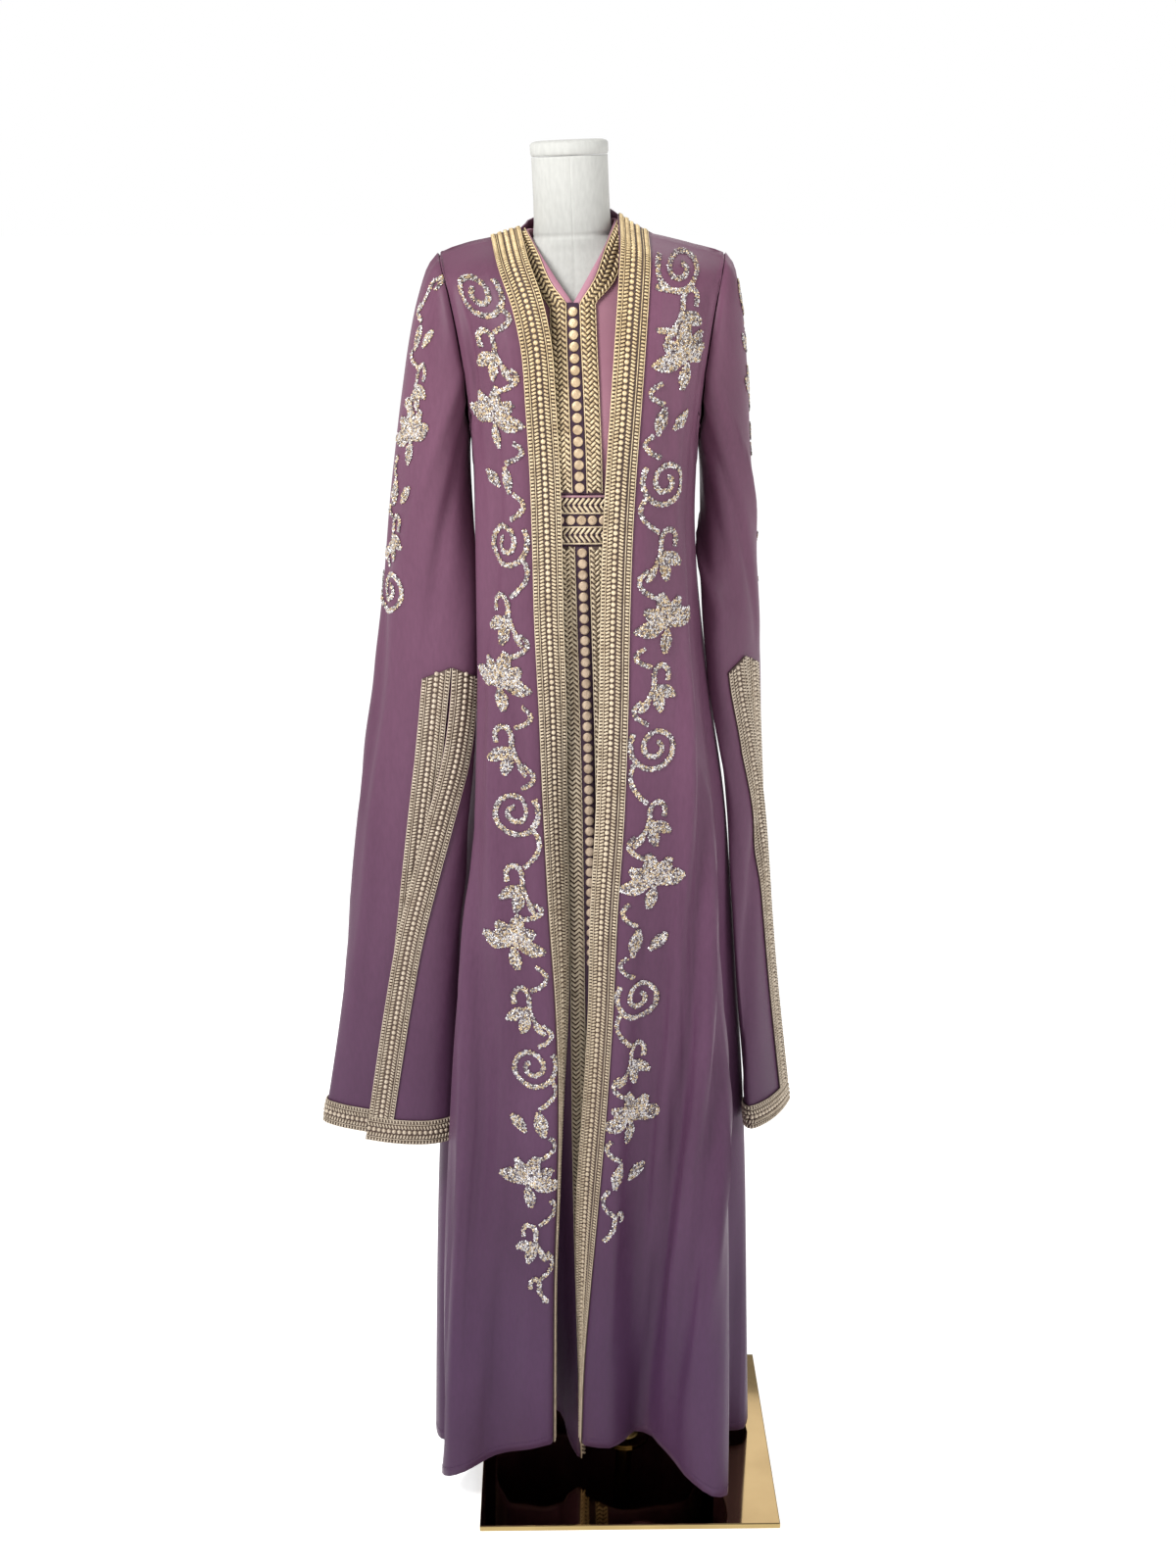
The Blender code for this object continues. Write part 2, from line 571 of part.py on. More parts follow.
def sleeve(side):
    """Grid of a sleeve from the cuff up. The first and last columns meet above the slit."""
    low = CUFF_LEVEL + np.array([0, CUFF_BAND / 2, CUFF_BAND])
    middle = np.linspace(CUFF_LEVEL + CUFF_BAND, SLIT_TOP - GABLE_ROW, 8)[1:]
    lower = np.concatenate([low, middle, [SLIT_TOP, SLEEVE_LEVEL]])
    upper = 1 - (1 - np.linspace(0, 1, 8)[1:]) ** 1.3
    count = len(SLEEVE_STEPS)
    grid = np.zeros((len(lower) + len(upper), count, 3))
    for row, z in enumerate(lower):
        grid[row, :, :2] = sleeve_ring(side, z, sleeve_shares(side, z, count))
        grid[row, :, 2] = z
    angles = math.pi * np.array(SLEEVE_STEPS) / ARM_STEPS
    whole = np.arange(-ARM_STEPS - 1, ARM_STEPS)
    knots = armhole(side, math.pi * whole / ARM_STEPS, -ARM_SEAM, COAT_ARM[side])
    top = np.stack([np.interp(SLEEVE_STEPS, whole, knots[:, k]) for k in range(3)], axis=-1)
    top[-1] = top[0]
    start = grid[len(lower) - 1]
    rise = top[:, 2:] - start[:, 2:]
    leave = start - grid[len(lower) - 3]
    leave *= rise / leave[:, 2:]
    under = (1 - np.cos(angles)) / 2
    arrive = np.stack([-side * (0.85 - 0.7 * under), 0.25 * np.sin(angles), 0.55 + 0.45 * under], axis=-1)
    arrive *= CAP_PULL * (1 - 0.3 * under)[:, None]
    for row, t in enumerate(upper, len(lower)):
        grid[row] = (
            (1 + 2 * t) * (1 - t) ** 2 * start
            + t * (1 - t) ** 2 * leave
            + t * t * (3 - 2 * t) * top
            + t * t * (t - 1) * arrive
        )
    return grid, len(lower) - 2


def dress_path(side, z):
    """Plan path of a dress front, from its centre line or neck edge to the side seam."""
    opened = np.clip((z - NECK_POINT) / (DRESS_TIP - NECK_POINT), 0, 1)
    start_x = float(read(DRESS_CENTRE, "x", z)) + side * (SEAM + NECK_HALF * opened)
    degrees = np.linspace(-180, 0, 721) if side > 0 else np.linspace(0, -180, 721)
    ring = body_ring(DRESS, DRESS_FOLDS, z, degrees)
    return ring[np.flatnonzero(side * (ring[:, 0] - start_x) > 0)[0] :]


def band_start(z):
    """Distance of the braid from the dress front's edge: beside the buttons, then along the neck."""
    return NECK_EDGE + (PLACKET_HALF - NECK_EDGE) * (1 - smooth((z - NECK_POINT) / 0.016))


def dress_front(side):
    arm = DRESS_ARM[side]
    shares = np.linspace(0, 1, COLUMNS_DRESS + 1)
    seam = DRESS_SEAM_LEFT if side < 0 else DRESS_SEAM_RIGHT
    seam_length = abs(seam[-1].x - seam[0].x) - CREST_SEAM
    fixed = [0.0, NECK_EDGE, NECK_EDGE + BRAID_WIDTH / 2]
    rest = NECK_EDGE + BRAID_WIDTH
    seam_count = len(shares) - DRESS_ARM_STEPS
    along = rest + (seam_length - rest) * np.linspace(0, 1, seam_count)
    angles = math.pi * np.arange(1, DRESS_ARM_STEPS + 1) / DRESS_ARM_STEPS
    seam_part = seam_points(seam, np.concatenate([fixed, along]), -CREST_SEAM)
    top = np.concatenate([seam_part, armhole(side, angles, SEAM, arm)])
    hems = DRESS_HEM if side < 0 else DRESS_HEM_RIGHT
    hem = read(hems, "z", np.concatenate([[0.0, 0.02, 0.06], 0.1 + 0.9 * shares]))
    tip_share = shares[seam_count - 1]

    def columns(z):
        path = up_to_armhole(dress_path(side, z), side, arm, z, SEAM, False)
        start = band_start(z)
        rest = start + BRAID_WIDTH
        inset = SEAM if z <= arm.armpit else 0.0
        outer = rest + (length(path) - inset - rest) * scaled(shares, arm, z, tip_share)
        return resample(path, np.concatenate([[0.0, start, start + BRAID_WIDTH / 2], outer]))

    return hang(columns, hem, [BELT_LOW, BELT_HIGH], NECK_POINT, top, DRESS_ROWS, DRESS_TIP)


def dress_back():
    counts = (DRESS_ARM_STEPS, 3, 6)
    top = back_top(DRESS_SEAM_LEFT, DRESS_SEAM_RIGHT, DRESS_ARM, CREST_SEAM, DRESS_NECK_REACH, DRESS_NECK_RISE, counts)
    hem = read(DRESS_HEM_BACK, "z", np.linspace(0, 1, len(top)))
    columns = back_columns(DRESS, DRESS_FOLDS, DRESS_ARM, len(top), DRESS_ARM_STEPS)
    return hang(columns, hem, [BELT_LOW, BELT_HIGH], NECK_POINT, top, DRESS_ROWS, DRESS_TIP, NECK_SIDE_LEVEL)


def normals_of(grid):
    """Outward steps of a grid of points: a step moves both walls beside a fold out by its length."""
    up = np.gradient(grid, axis=0)
    across = np.diff(grid, axis=1)
    before = np.concatenate([across[:, :1], across], axis=1)
    after = np.concatenate([across, across[:, -1:]], axis=1)
    sides = [np.cross(part, up) for part in (before, after)]
    sides = [part / np.linalg.norm(part, axis=2, keepdims=True) for part in sides]
    normals = sides[0] + sides[1]
    normals /= np.maximum(np.linalg.norm(normals, axis=2, keepdims=True), 1e-9)
    share = (normals * sides[0]).sum(axis=2, keepdims=True)
    return normals / np.maximum(share, MITRE_SHARE)


def moved_out(grid, distance):
    return grid + normals_of(grid) * distance


def material(look):
    made = bpy.data.materials.get(look)
    if made:
        return made
    colour, roughness, metallic = LOOKS[look]
    made = bpy.data.materials.new(look)
    made.use_nodes = True
    shader = made.node_tree.nodes["Principled BSDF"]
    shader.inputs["Base Color"].default_value = (*colour, 1.0)
    shader.inputs["Roughness"].default_value = roughness
    shader.inputs["Metallic"].default_value = metallic
    return made


def add_object(name, mesh, look):
    obj = bpy.data.objects.new(name, mesh)
    bpy.data.collections["kaftan"].objects.link(obj)
    mesh.materials.clear()
    mesh.materials.append(material(look))
    mesh.shade_smooth()
    return obj


def sheet(name, grid, look, thickness, closed_from=None):
    """Wall from a grid of outer points. From row closed_from up, the last column is the first."""
    rows, columns = grid.shape[:2]
    index = np.arange(rows * columns).reshape(rows, columns)
    if closed_from is not None:
        index[closed_from:, -1] = index[closed_from:, 0]
    faces = []
    for r in range(rows - 1):
        for c in range(columns - 1):
            a, b, d, e = index[r, c], index[r, c + 1], index[r + 1, c + 1], index[r + 1, c]
            faces += [(a, b, d), (a, d, e)]
    used = np.unique(np.array(faces))
    place = {old: new for new, old in enumerate(used)}
    mesh = bpy.data.meshes.new(name)
    points = grid.reshape(-1, 3)[used]
    mesh.from_pydata(points.tolist(), [], [tuple(place[i] for i in face) for face in faces])
    obj = add_object(name, mesh, look)
    wall = obj.modifiers.new("wall", "SOLIDIFY")
    wall.thickness = thickness
    wall.offset = -1
    return obj


def facing_out(grid, side):
    """Columns in the order that turns the grid's faces away from the body: the left side's are reversed."""
    return grid[:, ::-1] if side < 0 else grid


def build_stand():
    bpy.ops.mesh.primitive_cube_add(size=1, location=(0, 0, PLATE_THICK / 2))
    plate = bpy.context.object
    plate.name = "stand_plate"
    plate.dimensions = (PLATE_SIDE, PLATE_SIDE, PLATE_THICK)
    bpy.ops.object.transform_apply(location=False, rotation=False, scale=True)
    edge = plate.modifiers.new("edge", "BEVEL")
    edge.width = 0.0012
    edge.segments = 2
    keep(plate, "dark_mirror")

    turned(
        "stand_flange",
        [
            (POLE_RADIUS + GAP, FLANGE_HEIGHT),
            (POLE_RADIUS + 0.004, FLANGE_HEIGHT),
            (POLE_RADIUS + 0.006, 0.005),
            (FLANGE_RADIUS, 0.003),
            (FLANGE_RADIUS, 0.0),
            (POLE_RADIUS + GAP, 0.0),
        ],
        PLATE_THICK + GAP,
        "brass",
    )
    height = (FORM_BOTTOM - GAP) / math.cos(LEAN) - 0.010
    pole_base = PLATE_THICK + GAP + POLE_RADIUS * math.sin(LEAN)
    bpy.ops.mesh.primitive_cylinder_add(vertices=24, radius=POLE_RADIUS * 0.9, depth=height)
    pole = bpy.context.object
    pole.name = "stand_pole"
    middle = pole_base / math.cos(LEAN) + height / 2
    pole.rotation_euler = (0, -LEAN, 0)
    pole.location = (-middle * math.sin(LEAN), 0, middle * math.cos(LEAN))
    keep(pole, "brass")


def keep(obj, look):
    for collection in list(obj.users_collection):
        collection.objects.unlink(obj)
    bpy.data.collections["kaftan"].objects.link(obj)
    obj.data.materials.clear()
    obj.data.materials.append(material(look))


def turned(name, profile, base, look):
    """Turned ring: the profile runs down its outer side and closes along the bore."""
    mesh = bpy.data.meshes.new(name)
    points = [(radius, 0, base + height) for radius, height in profile]
    count = len(points)
    mesh.from_pydata(points, [(i, (i + 1) % count) for i in range(count)], [])
    obj = add_object(name, mesh, look)
    screw = obj.modifiers.new("turn", "SCREW")
    screw.steps = 24
    screw.render_steps = 24
    screw.use_merge_vertices = True
    screw.merge_threshold = 0.00001
    return obj


def build_form():
    """Limbless form: a loft through its rings, tilted about the pole's foot."""
    rows = 21
    around = 24
    heights = np.array([ring.z for ring in FORM])
    levels = sorted({*heights, *np.linspace(FORM_BOTTOM, 1.55, rows - len(heights) + 6)})
    angles = np.linspace(0, 2 * math.pi, around, endpoint=False)
    points = []
    for z in levels:
        half, front, back, square = (float(read(FORM, n, z)) for n in ("half", "front", "back", "square"))
        depth = np.where(np.sin(angles) < 0, front, back)
        plan = superellipse(angles, half, depth, square)
        points += [leaning(x, y, z) for x, y in plan]
    faces = [tuple(range(around))[::-1]]
    for r in range(len(levels) - 1):
        for c in range(around):
            n = (c + 1) % around
            faces.append((r * around + c, r * around + n, (r + 1) * around + n, (r + 1) * around + c))
    top = (len(levels) - 1) * around
    faces.append(tuple(range(top, top + around)))
    mesh = bpy.data.meshes.new("form_torso")
    mesh.from_pydata(points, [], faces)
    add_object("form_torso", mesh, "linen")

    bpy.ops.mesh.primitive_cylinder_add(vertices=32, radius=CAP_RADIUS, depth=CAP_HEIGHT)
    cap = bpy.context.object
    cap.name = "form_neck_cap"
    cap.rotation_euler = (0, -LEAN, 0)
    cap.location = leaning(0, 0, NECK_TOP + GAP + CAP_HEIGHT / 2)
    edge = cap.modifiers.new("edge", "BEVEL")
    edge.width = 0.002
    edge.segments = 2
    keep(cap, "linen")


def leaning(x, y, z):
    return (x * math.cos(LEAN) - z * math.sin(LEAN), y, z * math.cos(LEAN) + x * math.sin(LEAN))


def build_coat():
    for side, word in ((-1, "left"), (1, "right")):
        grid = coat_front(side)
        panel = facing_out(grid, side)
        sheet(f"coat_front_{word}", panel, "satin", CLOTH)
        raised = moved_out(panel, GAP + BRAID)
        trim = raised[:, -3:] if side < 0 else raised[:, :3]
        sheet(f"coat_trim_{word}", trim, "gold_braid", BRAID)
    sheet("coat_back", coat_back()[:, ::-1], "satin", CLOTH)


def between(first, second, share):
    return first + (second - first) * share


def slit_band(raised, top_row):
    """Grid of the band along one edge of a slit: three columns, from that edge, ending in a sloping top."""
    band = raised[2 : top_row + 1].copy()
    band[0] = between(band[0], band[1], 0.0006 / (band[1, 0, 2] - band[0, 0, 2]))
    band[:, 0] = between(band[:, 0], band[:, 1], 2 * EDGE_INSET / TRIM_WIDTH)
    rise = band[-1, 0, 2] - band[-2, 0, 2]
    for column, across in enumerate((EDGE_INSET, TRIM_WIDTH / 2, TRIM_WIDTH)):
        band[-1, column] = between(band[-1, column], band[-2, column], SLIT_GABLE * across / rise)
    return band


def build_sleeves():
    for side, word in ((-1, "left"), (1, "right")):
        grid, closed_from = sleeve(side)
        sheet(f"sleeve_{word}", facing_out(grid, side), "satin", CLOTH, closed_from)
        raised = grid + normals_of(grid) * side * (GAP + BRAID)
        cuff = facing_out(raised[:3], side)
        sheet(f"cuff_band_{word}", cuff, "gold_braid", BRAID)
        raised = grid + normals_of(grid) * side * (GAP + BRAID + SLIT_LIFT)
        outer = slit_band(raised[:, :3], closed_from)
        inner = slit_band(raised[:, :-4:-1], closed_from)
        sheet(f"slit_band_{word}_outer", facing_out(outer, side), "gold_braid", BRAID)
        sheet(f"slit_band_{word}_inner", facing_out(inner, -side), "gold_braid", BRAID)


def buttons(name, line, normals, first, pitch, count):
    """Closed button discs, sunk into the strip they stand on, at equal steps along a line of points."""
    steps = np.linalg.norm(np.diff(line, axis=0), axis=1)
    along = np.concatenate([[0.0], np.cumsum(steps)])
    points, faces = [], []
    turn = 2 * math.pi * np.arange(BUTTON_SIDES) / BUTTON_SIDES + math.pi / BUTTON_SIDES
    for k in range(count):
        at = first + k * pitch
        middle, up, before, after = (
            np.array([np.interp(a, along, values[:, i]) for i in range(3)])
            for a, values in ((at, line), (at, normals), (at - 0.002, line), (at + 0.002, line))
        )
        up /= np.linalg.norm(up)
        ahead = after - before
        ahead -= up * (ahead @ up)
        ahead /= np.linalg.norm(ahead)
        across = np.cross(up, ahead)
        base = len(points)
        for radius, height in ((1.0, -BRAID / 2), (0.85, BUTTON_HEIGHT)):
            for angle in turn:
                out = (ahead * math.cos(angle) + across * math.sin(angle)) * BUTTON_RADIUS * radius
                points.append(middle + out + up * height)
        low = list(range(base, base + BUTTON_SIDES))
        high = list(range(base + BUTTON_SIDES, base + 2 * BUTTON_SIDES))
        faces += [low[::-1], high]
        for i in range(BUTTON_SIDES):
            n = (i + 1) % BUTTON_SIDES
            faces.append([low[i], low[n], high[n], high[i]])
    mesh = bpy.data.meshes.new(name)
    mesh.from_pydata([tuple(point) for point in points], [], faces)
    obj = bpy.data.objects.new(name, mesh)
    bpy.data.collections["helpers"].objects.link(obj)
    obj.hide_render = True
    obj.display_type = "WIRE"
    mesh.materials.append(material("gold_braid"))
    return obj


def add_buttons(strip, discs):
    union = strip.modifiers.new("buttons", "BOOLEAN")
    union.operation = "UNION"
    union.solver = "EXACT"
    union.object = discs


def placket(raised, rows):
    """Grid of the strip under the buttons, between the two braids: three columns from left to right."""
    inset = 3 * GAP / PLACKET_HALF
    left = between(raised[-1][rows, 1], raised[-1][rows, 0], inset)
    right = between(raised[1][rows, 1], raised[1][rows, 0], inset)
    middle = (raised[-1][rows, 0] + raised[1][rows, 0]) / 2
    return moved_out(np.stack([left, middle, right], axis=1), PLACKET_LIFT)


def build_dress():
    grids = {side: dress_front(side) for side in (-1, 1)}
    belt_low = DRESS_ROWS[0]
    belt_high = belt_low + DRESS_ROWS[1]
    lift = GAP + BRAID
    raised = {}
    for side, word in ((-1, "left"), (1, "right")):
        grid = grids[side]
        sheet(f"dress_front_{word}", facing_out(grid, side), "dress_satin", CLOTH)
        raised[side] = grid + normals_of(grid) * side * lift
        for part, rows in (("lower", raised[side][: belt_low + 1]), ("upper", raised[side][belt_high:])):
            braid = rows[:, 1:4].copy()
            if part == "lower":
                braid[-1] = between(braid[-1], braid[-2], BELT_CLEAR)
            else:
                braid[0] = between(braid[0], braid[1], BELT_CLEAR)
            sheet(f"braid_{part}_{word}", facing_out(braid, side), "gold_braid", BRAID)
    back = dress_back()[:, ::-1]
    sheet("dress_back", back, "dress_satin", CLOTH)
    raised_back = moved_out(back, lift)
    rows = slice(belt_low, belt_high + 1)
    belt = np.concatenate(
        [raised[1][rows, 1:], raised_back[rows, 1:-1], raised[-1][rows, :0:-1]], axis=1
    )
    belt = np.concatenate([belt, belt[:, :1]], axis=1)
    band = sheet("belt", belt, "gold_braid", BRAID, 0)
    around = np.concatenate([belt[1, -5:-1], belt[1, :4]])
    out = normals_of(belt)[1]
    return raised, band, around, np.concatenate([out[-5:-1], out[:4]])


def build_plackets(raised):
    low = placket(raised, slice(0, DRESS_ROWS[0] + 1))
    low[-1] = between(low[-1], low[-2], BELT_CLEAR)
    strip = sheet("placket_lower", low, "dark_placket", BRAID)
    normals = normals_of(low)
    discs = buttons(
        "buttons_lower", low[::-1, 1], normals[::-1, 1], BUTTON_FROM_BELT, BUTTON_PITCH, BUTTONS_BELOW
    )
    add_buttons(strip, discs)
    start = DRESS_ROWS[0] + DRESS_ROWS[1]
    high = placket(raised, slice(start, start + DRESS_ROWS[2] + 1))
    high[0] = between(high[0], high[1], BELT_CLEAR)
    strip = sheet("placket_upper", high, "dark_placket", BRAID)
    normals = normals_of(high)
    discs = buttons("buttons_upper", high[:, 1], normals[:, 1], BUTTON_FROM_BELT, BUTTON_PITCH, BUTTONS_ABOVE)
    add_buttons(strip, discs)


def main():
    for obj in list(bpy.data.objects):
        bpy.data.objects.remove(obj)
    collection = bpy.data.collections.new("kaftan")
    bpy.context.scene.collection.children.link(collection)
    bpy.context.scene.collection.children.link(bpy.data.collections.new("helpers"))
    build_stand()
    build_form()
    build_coat()
    build_sleeves()
    raised, band, around, out = build_dress()
    build_plackets(raised)
    steps = np.linalg.norm(np.diff(around, axis=0), axis=1)
    first = steps.sum() / 2 - (BELT_BUTTONS - 1) / 2 * BELT_BUTTON_PITCH
    add_buttons(band, buttons("buttons_belt", around, out, first, BELT_BUTTON_PITCH, BELT_BUTTONS))


main()
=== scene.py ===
"""Kaftan on a dress form: the cloth, braids, buttons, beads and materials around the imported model.

Metres, +Z up. The front faces -Y. Left and right are those of someone looking at the front.
"""

import math
from collections import namedtuple

import bpy
import numpy as np
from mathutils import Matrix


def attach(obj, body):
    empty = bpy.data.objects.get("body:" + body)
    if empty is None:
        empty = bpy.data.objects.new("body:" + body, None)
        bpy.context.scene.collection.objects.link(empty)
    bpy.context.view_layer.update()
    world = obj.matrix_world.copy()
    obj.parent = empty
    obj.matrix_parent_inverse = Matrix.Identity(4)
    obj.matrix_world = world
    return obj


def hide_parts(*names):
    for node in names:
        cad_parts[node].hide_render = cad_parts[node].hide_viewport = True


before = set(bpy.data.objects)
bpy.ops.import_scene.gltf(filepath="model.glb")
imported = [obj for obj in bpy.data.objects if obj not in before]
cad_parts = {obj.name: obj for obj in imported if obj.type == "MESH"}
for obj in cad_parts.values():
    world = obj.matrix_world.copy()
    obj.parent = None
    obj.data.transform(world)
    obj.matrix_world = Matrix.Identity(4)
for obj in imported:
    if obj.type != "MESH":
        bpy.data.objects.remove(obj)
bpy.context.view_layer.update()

# Walls and gaps
CLOTH = 0.0016
BRAID = 0.0016
GAP = 0.0003
SEAM = 0.00035
CREST_SEAM = 0.0011
ARM_SEAM = 0.0014

# Dress form and its lean
LEAN = math.radians(2.45)
FORM_BOTTOM = 0.82
NECK_TOP = 1.700
CAP_RADIUS = 0.0445
CAP_HEIGHT = 0.0175

# Coat
HIP_LEVEL = 1.20
TIP_LEVEL = 1.592
ARMPIT_LEVEL = 1.380
ARMHOLE_REACH = 0.075
TRIM_WIDTH = 0.034
TRIM_BEND = 0.012

# Sleeves
CUFF_LEVEL = 0.495
CUFF_BAND = 0.032
SLIT_TOP = 1.118
SLEEVE_LEVEL = 1.150
SLIT_GABLE = 0.45
GABLE_ROW = 0.030
SLIT_LIFT = 0.0003
CAP_PULL = 0.14
EDGE_INSET = 0.0005

# Dress
BELT_LOW = 1.273
BELT_HIGH = 1.332
NECK_POINT = 1.541
NECK_HALF = 0.052
NECK_EDGE = 0.0015
BUTTON_PITCH = 0.01307
BUTTON_RADIUS = 0.0055
BUTTON_HEIGHT = 0.0028
PLACKET_HALF = 0.0072
BRAID_WIDTH = 0.0180
BUTTONS_ABOVE = 16
BUTTONS_BELOW = 40
BELT_BUTTONS = 5
BELT_BUTTON_PITCH = 0.0125
PLACKET_LIFT = 0.0015
BUTTON_FROM_BELT = 0.0066

Section = namedtuple("Section", "z left right front back mid square")
Fold = namedtuple("Fold", "start angle_start angle_hem half_angle depth")
Edge = namedtuple("Edge", "z x turn")
SeamPoint = namedtuple("SeamPoint", "x z")
Hem = namedtuple("Hem", "share z")
SleeveSection = namedtuple("SleeveSection", "z inner_x inner_y outer_x outer_y face rear slit lap step")
Ring = namedtuple("Ring", "z half front back square")
Centre = namedtuple("Centre", "z x")
Arm = namedtuple("Arm", "tip armpit tip_x armpit_x reach")

# Coat body: extents in plan at each height, the depth of its widest line, and how square it is
COAT = [Section(*row) for row in (
    (0.03, -0.262, 0.171, -0.132, 0.170, 0.020, 2.2),
    (0.30, -0.254, 0.162, -0.142, 0.160, 0.025, 2.2),
    (0.50, -0.245, 0.154, -0.148, 0.150, 0.025, 2.2),
    (0.72, -0.228, 0.137, -0.151, 0.138, 0.020, 2.3),
    (0.94, -0.202, 0.118, -0.149, 0.128, 0.010, 2.4),
    (1.16, -0.188, 0.085, -0.143, 0.110, 0.000, 2.5),
    (1.30, -0.188, 0.075, -0.141, 0.108, 0.000, 2.5),
    (1.38, -0.189, 0.077, -0.141, 0.114, 0.000, 2.6),
    (1.46, -0.205, 0.092, -0.135, 0.120, 0.000, 2.8),
    (1.52, -0.217, 0.103, -0.120, 0.118, 0.000, 2.8),
    (1.56, -0.224, 0.108, -0.096, 0.098, 0.000, 2.6),
    (1.58, -0.225, 0.108, -0.066, 0.068, 0.000, 2.3),
    (1.592, -0.2225, 0.1055, -0.004, 0.006, 0.000, 2.0),
)]

# Coat folds: where each starts, its place round the body there and at the hem, and its depth at the hem
COAT_FOLDS = [Fold(*row) for row in (
    (1.25, -142, -135, 11, 0.064),
    (1.45, -172, -151, 9, -0.060),
    (0.95, -118, -114, 9, 0.010),
    (0.70, -83, -83, 7, 0.008),
    (0.95, -70, -73, 9, -0.046),
    (1.20, -44, -57, 11, 0.082),
    (1.10, -33, -38, 6, -0.014),
    (1.45, -20, -19, 8, -0.036),
    (0.90, 20, 20, 8, 0.014),
    (1.00, 38, 36, 10, 0.024),
    (0.90, 55, 54, 8, -0.018),
    (1.05, 72, 72, 9, 0.026),
    (0.95, 90, 91, 9, -0.022),
    (1.05, 108, 110, 9, 0.028),
    (0.90, 126, 128, 8, -0.018),
    (1.00, 143, 146, 9, 0.022),
    (0.80, 158, 160, 7, -0.010),
)]

# Front edges: the trim's outer line, and how far the trim turns into the depth below
LEFT_EDGE = [Edge(*row) for row in (
    (0.03, -0.100, 90),
    (0.28, -0.097, 90),
    (0.55, -0.090, 82),
    (0.66, -0.092, 70),
    (0.80, -0.099, 50),
    (1.02, -0.109, 28),
    (1.23, -0.116, 0),
    (1.48, -0.123, 0),
    (1.592, -0.156, 0),
)]
RIGHT_EDGE = [Edge(*row) for row in (
    (0.03, -0.062, 90),
    (0.18, -0.060, 84),
    (0.27, -0.053, 68),
    (0.37, -0.046, 52),
    (0.47, -0.039, 35),
    (0.66, -0.026, 30),
    (0.80, -0.020, 22),
    (0.93, -0.012, 0),
    (1.25, -0.004, 0),
    (1.43, 0.004, 0),
    (1.592, 0.010, 0),
)]

# Shoulder seams, from the neck to the shoulder tip
COAT_SEAM_LEFT = [SeamPoint(*row) for row in (
    (-0.129, 1.6197),
    (-0.156, 1.6110),
    (-0.187, 1.6045),
    (-0.2225, 1.592),
)]
COAT_SEAM_RIGHT = [SeamPoint(*row) for row in (
    (-0.017, 1.6345),
    (0.010, 1.6168),
    (0.050, 1.6072),
    (0.1055, 1.592),
)]

# Hem heights along each panel, from the free edge or the left side to its other side
COAT_HEM_LEFT = [Hem(0.0, 0.085), Hem(0.25, 0.060), Hem(0.5, 0.030), Hem(0.75, 0.020), Hem(1.0, 0.022)]
COAT_HEM_RIGHT = [
    Hem(0.0, 0.085), Hem(0.2, 0.078), Hem(0.35, 0.062), Hem(0.6, 0.024), Hem(0.8, 0.022), Hem(1.0, 0.020),
]
COAT_HEM_BACK = [Hem(0.0, 0.024), Hem(0.3, 0.022), Hem(0.7, 0.022), Hem(1.0, 0.020)]

# Back neck: how far it stands behind the shoulder line and above it, from left to right
BACK_NECK_REACH = 0.072
BACK_NECK_RISE = 0.012
DRESS_NECK_REACH = 0.050
DRESS_NECK_RISE = -0.003
NECK_SIDE_LEVEL = 1.617

# Dress body and folds
DRESS = [Section(*row) for row in (
    (0.03, -0.180, 0.108, -0.052, 0.120, 0.030, 2.2),
    (0.30, -0.184, 0.106, -0.078, 0.120, 0.020, 2.2),
    (0.50, -0.186, 0.104, -0.098, 0.118, 0.010, 2.2),
    (0.72, -0.186, 0.100, -0.103, 0.113, 0.010, 2.3),
    (0.94, -0.180, 0.092, -0.105, 0.108, 0.008, 2.4),
    (1.16, -0.176, 0.068, -0.108, 0.092, 0.000, 2.4),
    (1.30, -0.175, 0.061, -0.117, 0.090, 0.000, 2.3),
    (1.38, -0.180, 0.065, -0.124, 0.098, 0.000, 2.3),
    (1.46, -0.183, 0.065, -0.112, 0.103, 0.000, 2.3),
    (1.52, -0.183, 0.061, -0.092, 0.096, 0.000, 2.2),
    (1.56, -0.181, 0.055, -0.069, 0.076, 0.000, 2.2),
    (1.58, -0.180, 0.048, -0.044, 0.050, 0.000, 2.2),
    (1.592, -0.178, 0.040, -0.004, 0.006, 0.000, 2.0),
)]
DRESS_FOLDS = [Fold(*row) for row in (
    (0.62, -98, -100, 5, 0.038),
    (1.00, -140, -142, 10, 0.014),
    (1.00, -40, -42, 10, 0.012),
    (1.10, 20, 18, 10, 0.012),
    (1.10, 60, 60, 12, 0.014),
    (1.10, 120, 120, 12, 0.014),
    (1.10, 160, 158, 10, 0.010),
)]
DRESS_CENTRE = [Centre(*row) for row in (
    (0.03, -0.050),
    (0.50, -0.047),
    (0.85, -0.050),
    (1.13, -0.056),
    (1.27, -0.060),
    (1.34, -0.063),
    (1.541, -0.0695),
    (1.592, -0.0695),
)]
DRESS_SEAM_LEFT = [SeamPoint(-0.1215, 1.6180), SeamPoint(-0.150, 1.6065), SeamPoint(-0.177, 1.6015)]
DRESS_SEAM_RIGHT = [SeamPoint(-0.0195, 1.6300), SeamPoint(0.010, 1.6115), SeamPoint(0.039, 1.6045)]
DRESS_TIP = 1.592
DRESS_ARMPIT = 1.400
DRESS_ARM_REACH = 0.060
DRESS_HEM = [Hem(0.0, 0.070), Hem(0.12, 0.030), Hem(0.22, 0.050), Hem(0.4, 0.090), Hem(1.0, 0.090)]
DRESS_HEM_RIGHT = [Hem(0.0, 0.070), Hem(0.2, 0.090), Hem(1.0, 0.090)]
DRESS_HEM_BACK = [Hem(0.0, 0.090), Hem(1.0, 0.090)]

